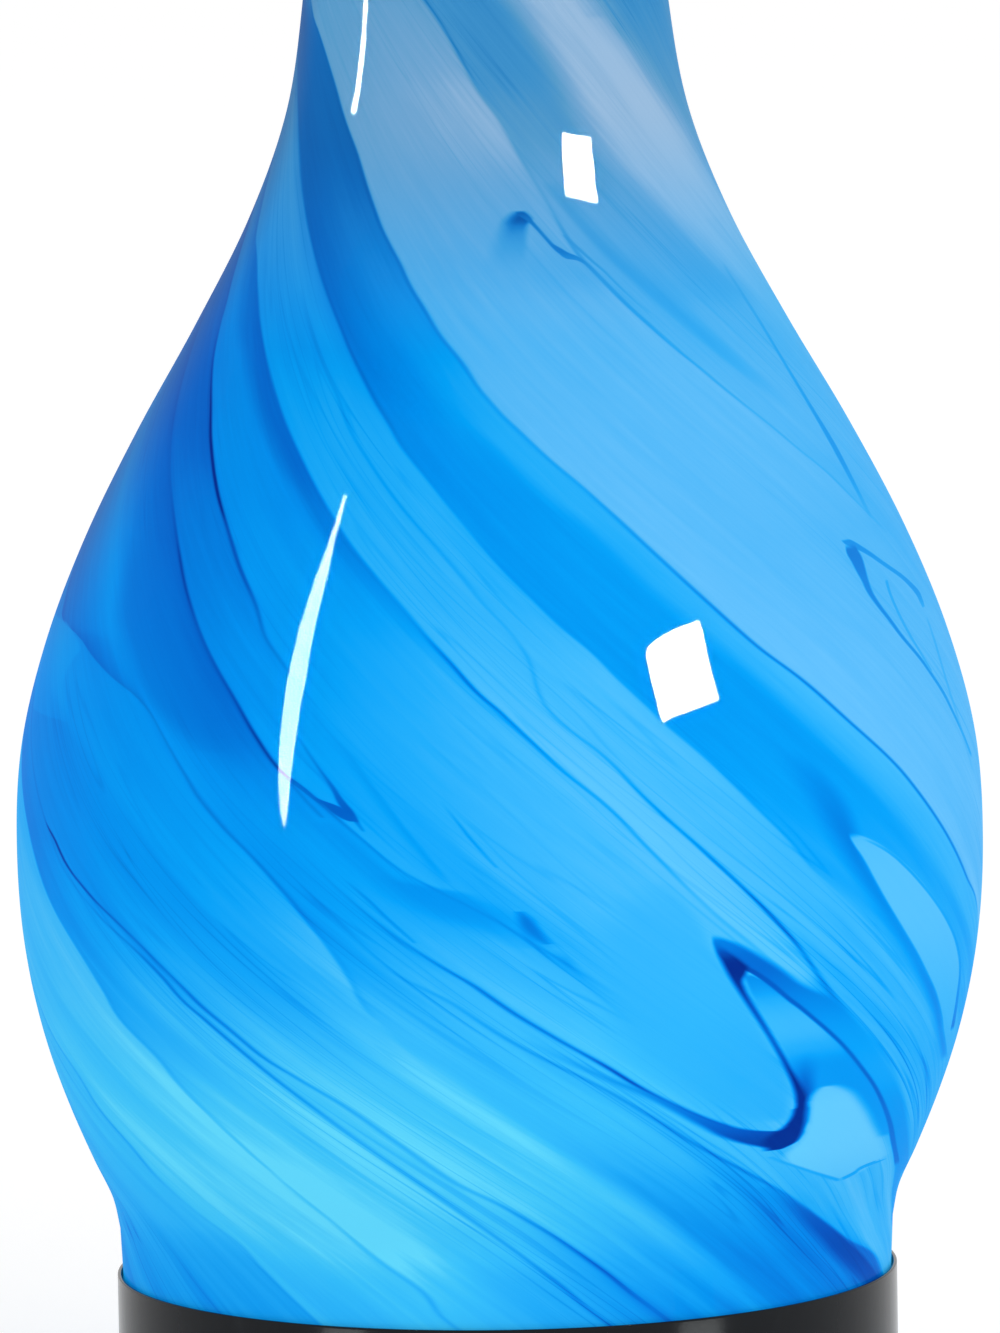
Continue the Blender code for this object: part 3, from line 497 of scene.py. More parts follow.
def linen(name="linen", along=1.0):
    """Plain weave with thick and thin threads. Its threads close up round the drum without a break."""
    shade = bpy.context.scene.lamp_shade
    f = Finish(name)
    place = f.place()
    x, y, z = f.parts(place)
    count = round(math.tau * fabric_high.x / shade.thread)
    around = x.arctan2(-y) * (count / 2)
    up = z * (math.pi / shade.thread)
    warp_slub = f.noise(f.stretch(place, (1, 1, 0.04)), 520, 3.0, 0.6)
    weft_slub = f.noise(f.stretch(place, (0.04, 0.04, 1)), 620, 3.0, 0.6)
    wobble = (f.noise(place, 90, 2.0) - 0.5) * 1.6
    warp_wave = (around + wobble).sine()
    weft_wave = (up + wobble).sine()
    warp_round = (1 - warp_wave * warp_wave) ** 0.5
    weft_round = (1 - weft_wave * weft_wave) ** 0.5
    over = ((around + wobble).cosine() * (up + wobble).cosine()).span(-0.5, 0.5, 0, 1)
    height = f.between(warp_round * (0.55 + warp_slub), weft_round * (0.55 + weft_slub), over)
    slub = f.between(warp_slub, weft_slub, over)
    dark = tuple(c * s for c, s in zip(shade.linen, (0.70, 0.67, 0.60)))
    pale = tuple(min(1, c * 1.06) for c in shade.linen)
    # Painted shade: the weave is darker where its threads dip, in the gaps between them
    thread_gap_shade = f.blend(tuple(c * 0.62 for c in dark), shade.linen, height.step(0.05, 0.55))
    toned = f.blend(dark, pale, (slub * 1.6 - 0.25).held())
    tint = f.blend(thread_gap_shade, toned, 0.55)
    fade = f.noise(place, 9, 2.0)
    tint = f.blend(tint, f.blend(tint, pale, 0.35), fade)
    return f.done({
        "Base Color": tint,
        "Roughness": 0.84 + slub * 0.12,
        "Sheen Weight": 0.15,
        "Normal": f.bump(height, 0.55, shade.thread * 0.35),
    })


# Glass body


def smooth_value(knots, x):
    """Value at x of the smooth curve through the (x, value) knots, which are in rising order of x."""
    last = len(knots) - 2
    span = 0
    while span < last and x > knots[span + 1][0]:
        span += 1
    (x0, v0), (x1, v1) = knots[span], knots[span + 1]
    step = x1 - x0
    t = (x - x0) / step
    start = knot_slope(knots, span) * step
    end = knot_slope(knots, span + 1) * step
    value = (2 * t**3 - 3 * t**2 + 1) * v0 + (t**3 - 2 * t**2 + t) * start
    return value + (3 * t**2 - 2 * t**3) * v1 + (t**3 - t**2) * end


def knot_slope(knots, i):
    """Slope of the parabola through a knot and its two neighbours."""
    if i == 0:
        return (knots[1][1] - knots[0][1]) / (knots[1][0] - knots[0][0])
    if i == len(knots) - 1:
        return (knots[i][1] - knots[i - 1][1]) / (knots[i][0] - knots[i - 1][0])
    before = knots[i][0] - knots[i - 1][0]
    after = knots[i + 1][0] - knots[i][0]
    rise_before = (knots[i][1] - knots[i - 1][1]) / before
    rise_after = (knots[i + 1][1] - knots[i][1]) / after
    return (rise_before * after + rise_after * before) / (before + after)


glass_knots = [
    (collar_top + (belly_level - collar_top) * up, collar_radius + (belly_radius - collar_radius) * out)
    for up, out in lower_outline_shares
] + [
    (belly_level + (glass_high.z - belly_level) * up, neck_radius + (belly_radius - neck_radius) * out)
    for up, out in upper_outline_shares
]


def glass_radius(height):
    """Outer radius of the glass at a height."""
    if height < collar_top:
        return collar_radius
    return smooth_value(glass_knots, min(height, glass_high.z))


photo_width, photo_height = 1000, 1333
pixels_per_unit = 10515.9  # focal length in the photograph's pixels
camera_aside = 0.0006


def photo_ray(px, py):
    """Camera's place and the direction in which it sees a point of the photograph."""
    studio = bpy.context.scene.lamp_studio
    across, down = px - photo_width / 2, py - photo_height / 2
    c, s = math.cos(studio.roll), math.sin(studio.roll)
    x, y = across * c + down * s, -across * s + down * c
    c, s = math.cos(studio.pitch), math.sin(studio.pitch)
    ahead, up = Vector((0, c, -s)), Vector((0, s, c))
    direction = ahead + Vector((1, 0, 0)) * (x / pixels_per_unit) - up * (y / pixels_per_unit)
    return Vector((camera_aside, -studio.distance, studio.height)), direction.normalized()


def on_glass(px, py):
    """Point of the glass that the photograph shows at a pixel, or the nearest one to its ray."""
    eye, ray = photo_ray(px, py)
    distance = bpy.context.scene.lamp_studio.distance

    def clear(t):
        p = eye + ray * t
        return math.hypot(p.x, p.y) - glass_radius(p.z)

    start, end, steps = distance - 0.14, distance + 0.02, 160
    best = start
    for i in range(steps + 1):
        t = start + (end - start) * i / steps
        if clear(t) <= 0:
            low, high = t - (end - start) / steps, t
            for _ in range(24):
                middle = (low + high) / 2
                low, high = (low, middle) if clear(middle) <= 0 else (middle, high)
            return eye + ray * high
        if clear(t) < clear(best):
            best = t
    return eye + ray * best


def angle_height(px, py):
    """Angle round the glass in degrees, 0 at the front and rising to the right, and height in millimetres."""
    p = on_glass(px, py)
    return math.degrees(math.atan2(p.x, -p.y)), p.z / mm


# Twist of the swirl: degrees for each millimetre of height, at heights in millimetres
twist_slopes = (
    (33, 1.0), (70, 1.0), (100, 0.92), (120, 0.80), (140, 0.72), (165, 0.69), (190, 0.74),
    (220, 0.82), (250, 0.95), (270, 1.15), (290, 1.3), (312, 1.3),
)
swirl_low, swirl_high = 33.0, 312.0  # heights in millimetres
swirl_rest = 165.0  # height at which the swirl isn't turned
turn_span = 400.0  # degrees that turns from 0 to 1 stand for
widest_flow = 1.2  # more millimetres than one degree takes anywhere across the flow


def slope_at(height):
    """Degrees of twist for one millimetre at a height."""
    knots = twist_slopes
    height = min(max(height, knots[0][0]), knots[-1][0])
    for (h0, s0), (h1, s1) in zip(knots, knots[1:]):
        if height <= h1:
            return s0 + (s1 - s0) * (height - h0) / (h1 - h0)
    return knots[-1][1]


def twist_table():
    """(height, turn) every millimetre, with no turn at the rest height."""
    heights = [swirl_low + i for i in range(int(swirl_high - swirl_low) + 1)]
    turns = [0.0]
    for h0, h1 in zip(heights, heights[1:]):
        turns.append(turns[-1] - (slope_at(h0) + slope_at(h1)) / 2 * (h1 - h0))
    rest = turns[int(swirl_rest - swirl_low)]
    return heights, [t - rest for t in turns]


twist_heights, twist_turns = twist_table()


def twist_at(height):
    """Degrees of twist from the rest height to a height."""
    place = min(max(height, swirl_low), swirl_high) - swirl_low
    i = min(int(place), len(twist_turns) - 2)
    return twist_turns[i] + (twist_turns[i + 1] - twist_turns[i]) * (place - i)


def across_flow(height):
    """Millimetres across the flow for one degree round the glass."""
    radius = glass_radius(height * mm) / mm
    lean = radius * math.radians(slope_at(height))
    return math.radians(radius) / math.sqrt(1 + lean * lean)


def as_share(height):
    return (height - swirl_low) / (swirl_high - swirl_low)


def turn_share(turn):
    return turn / turn_span + 0.5


# Points are in the photograph's pixels, heights and softness in millimetres, turns in degrees, and tones,
# strengths and depths in hundredths. Tones run from 0, navy, to 100, palest. A line has the points that it
# runs through, the tone on its right and on its left at heights, its softness, the depth of the thread
# drawn along it, and (height, turn) points that it has beyond the photograph.
SwirlLine = namedtuple("SwirlLine", "points right left soft thread beyond", defaults=((), ()))
# A stroke lies between a left and a right edge. Its tones and strengths are given at rows of the
# photograph, and its softness at its left and at its right.
Stroke = namedtuple("Stroke", "left right tones soft strengths", defaults=((),))


def strand(line, tones, soft, strengths=()):
    """A stroke along one line of points, whose third number is its half width there."""
    left, right = [], []
    for i, (px, py, half) in enumerate(line):
        before, after = line[max(i - 1, 0)], line[min(i + 1, len(line) - 1)]
        along = Vector((after[0] - before[0], after[1] - before[1])).normalized()
        left.append((px - along.y * half, py + along.x * half))
        right.append((px + along.y * half, py - along.x * half))
    return Stroke(left, right, tones, soft, strengths)


# Lines of the swirl, from right to left
swirl_lines = (
    SwirlLine(
        ((598, 0), (612, 25), (632, 50), (655, 85), (685, 130), (700, 160)), ((250, 80), (292, 56)),
        ((240, 85), (292, 85)), 5,
    ),
    SwirlLine(
        ((510, 0), (535, 40), (560, 80), (585, 120), (615, 160), (650, 195), (690, 235), (730, 275),
         (770, 315), (800, 350)),
        ((224, 82), (240, 84), (292, 85)),
        ((224, 80), (231, 80), (240, 70), (255, 70), (270, 66), (285, 50), (293, 52)), 4.5,
    ),
    SwirlLine(
        ((425, 0), (445, 30), (462, 60), (482, 95), (500, 120), (525, 165), (545, 198), (560, 225),
         (575, 250), (590, 268), (603, 281), (625, 303), (650, 326), (680, 352), (700, 368), (720, 385),
         (740, 401), (770, 425), (800, 450), (830, 475), (850, 495), (880, 525), (895, 540)),
        ((192, 78), (202, 79), (213, 83), (234, 77), (245, 75), (256, 72), (270, 63), (282, 55), (293, 55)),
        ((192, 80), (202, 84), (213, 85), (225, 86), (234, 85), (245, 76), (256, 76), (270, 82), (282, 76),
         (293, 70)),
        1, ((190, 0), (200, 3), (215, 5), (234, 9), (245, 8), (256, 3), (270, 3), (282, 8)),
    ),
    SwirlLine(
        ((313, 15), (318, 30), (326, 55), (335, 85), (345, 120), (356, 150), (365, 180), (375, 210),
         (385, 235), (398, 260), (410, 285), (425, 310), (440, 335), (460, 360), (480, 390), (500, 413),
         (520, 432), (550, 460), (580, 485), (610, 512), (650, 549), (700, 595), (750, 640), (805, 682),
         (850, 722), (900, 769), (930, 808), (950, 840), (966, 875), (976, 900)),
        ((126, 85), (159, 88), (193, 86), (214, 84), (232, 79), (250, 74), (270, 70), (289, 66)),
        ((126, 80), (159, 84), (175, 80), (193, 76), (214, 73), (232, 57), (250, 42), (270, 28), (285, 32),
         (292, 50)),
        0.5, ((115, 0), (126, 18), (159, 21), (175, 19), (193, 12), (214, 7), (232, 9), (250, 9), (270, 6)),
    ),
    SwirlLine(
        ((440, 400), (500, 453), (550, 500), (600, 537), (650, 588), (700, 632)),
        ((120, 72), (145, 70), (165, 70), (178, 70), (195, 70), (211, 69), (220, 60), (240, 50), (265, 28)),
        ((120, 70), (145, 60), (165, 58), (186, 60), (195, 60), (202, 58), (211, 58), (220, 54), (240, 44),
         (265, 27)),
        2,
    ),
    SwirlLine(
        ((300, 150), (302, 180), (306, 210), (312, 240), (320, 270), (330, 300), (340, 325), (350, 350),
         (362, 375), (375, 400), (390, 425), (405, 450), (425, 475), (445, 500), (470, 530), (500, 565),
         (530, 595), (560, 625), (590, 650), (620, 680), (650, 708), (668, 725), (700, 752), (735, 785),
         (760, 810), (790, 840), (820, 875), (850, 902)),
        ((126, 72), (145, 64), (165, 58), (185, 56), (207, 51), (224, 42), (243, 31), (264, 23), (280, 30)),
        ((126, 76), (145, 81), (165, 85), (185, 74), (207, 70), (224, 60), (243, 50), (264, 47), (280, 45)),
        0.8, ((130, 0), (140, 5), (165, 5), (185, 4), (207, 5), (224, 8), (243, 5), (264, 2)),
    ),
    SwirlLine(
        ((318, 350), (335, 390), (350, 430), (365, 455), (400, 505), (430, 540), (460, 575), (480, 600),
         (520, 645), (560, 722), (600, 753), (650, 803), (700, 848), (735, 880), (780, 925), (805, 955),
         (815, 970), (830, 990), (850, 1015), (870, 1045), (888, 1085), (900, 1125), (904, 1160)),
        ((60, 75), (95, 75), (117, 80), (132, 85), (148, 85), (163, 84), (177, 79), (189, 74), (202, 71),
         (215, 69), (229, 58)),
        ((60, 65), (95, 52), (108, 50), (113, 80), (117, 88), (132, 90), (148, 90), (163, 84), (177, 79),
         (189, 76), (202, 71), (215, 69), (229, 56)),
        0.7,
        ((105, 0), (117, 14), (125, 22), (132, 16), (148, 12), (163, 6), (177, 3), (202, 5), (229, 4),
         (240, 0)),
    ),
    SwirlLine(
        ((257, 230), (257, 260), (258, 290), (260, 320), (265, 350), (275, 390), (285, 420), (298, 450),
         (315, 485), (335, 520), (355, 550), (375, 575), (400, 604), (430, 640), (450, 662), (480, 695),
         (500, 712), (530, 740), (560, 768), (600, 800), (650, 850), (700, 900), (740, 935), (750, 943)),
        ((60, 60), (95, 50), (106, 50), (108, 60), (112, 90), (122, 94), (129, 95), (155, 92), (168, 86),
         (184, 76), (199, 72), (216, 62), (233, 55), (249, 53)),
        ((60, 70), (112, 84), (122, 86), (129, 89), (155, 80), (168, 70), (184, 54), (199, 40), (216, 28),
         (233, 28), (249, 35)),
        0.5, ((110, 0), (122, 6), (140, 10), (155, 12), (168, 16), (184, 2), (199, 2), (216, 0)),
        ((100, -4), (85, -9), (60, -9)),
    ),
    SwirlLine(
        ((238, 320), (245, 360), (255, 400), (265, 430), (280, 465), (300, 500), (320, 535), (345, 570),
         (370, 595)),
        ((110, 86), (129, 88), (155, 84), (170, 76), (184, 58), (199, 44), (216, 33), (233, 40)),
        ((110, 86), (129, 86), (155, 82), (170, 74), (184, 60), (199, 53), (216, 50), (233, 48)), 2, (),
        ((100, -6), (85, -11), (60, -11)),
    ),
    SwirlLine(
        ((228, 295), (220, 325), (213, 360), (211, 400), (211, 440), (217, 490), (228, 530), (240, 568),
         (255, 603), (270, 645)),
        ((110, 84), (140, 76), (160, 66), (176, 57), (190, 56), (203, 51), (212, 50), (219, 48), (232, 46)),
        ((110, 82), (140, 70), (160, 62), (176, 53), (184, 46), (190, 42), (196, 41), (203, 36), (212, 25),
         (219, 23), (232, 26)),
        0.6, ((165, 0), (176, 6), (184, 10), (190, 15), (196, 15), (203, 25), (212, 20), (219, 15), (232, 5)),
        ((75, -20), (45, -14)),
    ),
    SwirlLine(
        ((172, 500), (178, 545), (184, 580), (192, 610), (203, 640), (215, 665), (235, 700), (255, 735),
         (278, 768), (305, 790), (330, 812), (360, 838), (400, 870), (440, 892), (480, 912), (520, 935)),
        ((90, 82), (120, 76), (132, 70), (140, 68), (147, 64), (154, 60), (166, 52), (177, 46), (187, 41),
         (201, 36), (215, 30)),
        ((90, 82), (120, 72), (132, 62), (140, 60), (147, 54), (154, 46), (160, 36), (166, 29), (177, 25),
         (187, 24), (201, 26), (215, 22)),
        0.6,
        ((110, 0), (118, 6), (132, 8), (136, 4), (147, 10), (154, 20), (166, 12), (177, 8), (187, 12),
         (194, 8), (205, 2)),
        ((75, -24), (45, -18)),
    ),
    SwirlLine(
        ((190, 690), (230, 760), (270, 815), (300, 850), (350, 900), (400, 940), (440, 966), (480, 990),
         (500, 1004), (550, 1035), (600, 1063), (650, 1093), (700, 1117), (738, 1132)),
        ((70, 80), (84, 80), (99, 84), (111, 80), (121, 72), (130, 62), (145, 55), (160, 36)),
        ((70, 78), (84, 78), (99, 82), (111, 80), (121, 68), (130, 60), (145, 55), (160, 36)), 0.6,
        ((70, 0), (82, 0), (84, 35), (87, 38), (91, 30), (95, 33), (99, 30), (104, 20), (111, 20), (115, 18),
         (121, 10), (130, 4), (140, 0)),
        ((60, -28), (45, -22)),
    ),
    SwirlLine(
        ((330, 925), (360, 950), (400, 977), (430, 992), (450, 1002), (480, 1022), (500, 1035), (550, 1062),
         (600, 1087), (650, 1116), (700, 1147), (750, 1174), (800, 1204), (840, 1235), (880, 1262)),
        ((45, 75), (59, 62), (67, 66), (75, 72), (82, 77), (94, 82), (105, 80), (114, 72), (125, 60),
         (135, 55)),
        ((45, 36), (55, 34), (59, 38), (67, 50), (75, 60), (82, 70), (94, 78), (105, 78), (114, 72),
         (125, 60), (135, 55)),
        0.8, ((50, 0), (67, 5), (75, 12), (88, 12), (105, 10), (114, 5), (120, 0)),
    ),
    SwirlLine(
        ((62, 612), (80, 637), (92, 655), (110, 675), (140, 700), (160, 730), (185, 775), (200, 800),
         (225, 830), (250, 855), (280, 888), (300, 912), (330, 950), (350, 980), (362, 1003), (400, 1045),
         (450, 1090), (520, 1140), (600, 1190), (680, 1240), (740, 1290)),
        ((45, 45), (60, 54), (75, 66), (90, 80), (105, 78), (112, 72), (121, 58), (132, 53), (143, 46),
         (152, 43), (165, 37), (172, 32), (180, 35)),
        ((45, 55), (60, 66), (75, 84), (90, 93), (105, 89), (112, 87), (121, 82), (132, 69), (143, 59),
         (152, 54), (165, 51), (172, 50), (180, 45)),
        0.6, ((108, 0), (112, 5), (121, 5), (132, 8), (143, 5), (165, 3), (172, 2)),
    ),
    SwirlLine(
        ((52, 680), (60, 705), (72, 730), (90, 760), (110, 795), (140, 830), (170, 860), (210, 900),
         (250, 935), (300, 972), (350, 1010), (420, 1060), (500, 1112), (560, 1150), (620, 1190), (700, 1250),
         (750, 1295)),
        ((45, 50), (60, 62), (75, 84), (90, 94), (105, 86), (112, 78), (121, 70), (132, 62), (143, 58),
         (160, 54)),
        ((45, 52), (60, 64), (75, 86), (90, 93), (105, 82), (112, 72), (121, 64), (132, 58), (143, 53),
         (160, 47)),
        3,
    ),
    SwirlLine(
        ((35, 790), (42, 815), (55, 840), (65, 862), (90, 895), (125, 930), (150, 955), (185, 990),
         (200, 1005), (230, 1030), (260, 1055), (300, 1080), (350, 1110), (400, 1145), (450, 1180),
         (500, 1205), (530, 1222), (560, 1240), (600, 1268), (640, 1300)),
        ((45, 42), (52, 50), (59, 62), (69, 90), (77, 95), (91, 92), (101, 81), (109, 68), (118, 60),
         (128, 53), (137, 50), (145, 47)),
        ((45, 45), (52, 50), (59, 55), (69, 80), (77, 93), (91, 93), (101, 88), (109, 76), (118, 62),
         (128, 53), (137, 50), (145, 45)),
        0.5,
        ((50, 6), (59, 14), (69, 16), (77, 10), (91, 14), (101, 16), (109, 14), (118, 8), (128, 16),
         (137, 22), (145, 12)),
    ),
    SwirlLine(
        ((48, 828), (60, 862), (80, 893), (105, 922), (130, 945), (160, 975), (185, 1003), (205, 1020),
         (240, 1050), (270, 1075), (300, 1098), (350, 1135), (400, 1170), (450, 1205), (500, 1240),
         (530, 1262), (560, 1285), (600, 1318)),
        ((45, 50), (56, 66), (65, 88), (79, 93), (93, 88), (101, 80), (110, 68), (119, 60), (128, 55),
         (137, 50)),
        ((45, 50), (56, 62), (65, 86), (79, 95), (93, 93), (101, 86), (110, 78), (119, 62), (128, 56),
         (137, 48)),
        0.5, ((50, 8), (56, 12), (65, 14), (79, 12), (93, 16), (101, 18), (110, 15), (119, 8), (128, 3)),
    ),
    SwirlLine(
        ((26, 815), (32, 845), (50, 900), (75, 945), (100, 985), (125, 1025), (150, 1050), (180, 1085),
         (225, 1130), (275, 1175), (330, 1220), (380, 1262), (420, 1290), (445, 1320)),
        ((45, 74), (55, 86), (69, 100), (85, 92), (99, 70), (111, 56), (125, 49), (139, 42)),
        ((45, 76), (55, 86), (69, 100), (85, 100), (99, 93), (111, 85), (125, 78), (139, 70)), 0.6,
        ((45, 7), (55, 9), (69, 6), (85, 7), (99, 6), (111, 4), (125, 2)),
    ),
    SwirlLine(
        ((35, 990), (50, 1030), (75, 1070), (100, 1110), (130, 1145), (160, 1180), (200, 1215), (240, 1245),
         (265, 1272)),
        ((45, 66), (57, 74), (67, 87), (79, 89), (92, 84), (105, 78)),
        ((45, 52), (57, 59), (62, 68), (67, 78), (79, 79), (92, 78), (105, 75)), 0.8,
        ((57, 6), (67, 4), (79, 10), (92, 8), (105, 5)),
    ),
)

milky_seam = swirl_lines[3]  # the glass is milky on its right

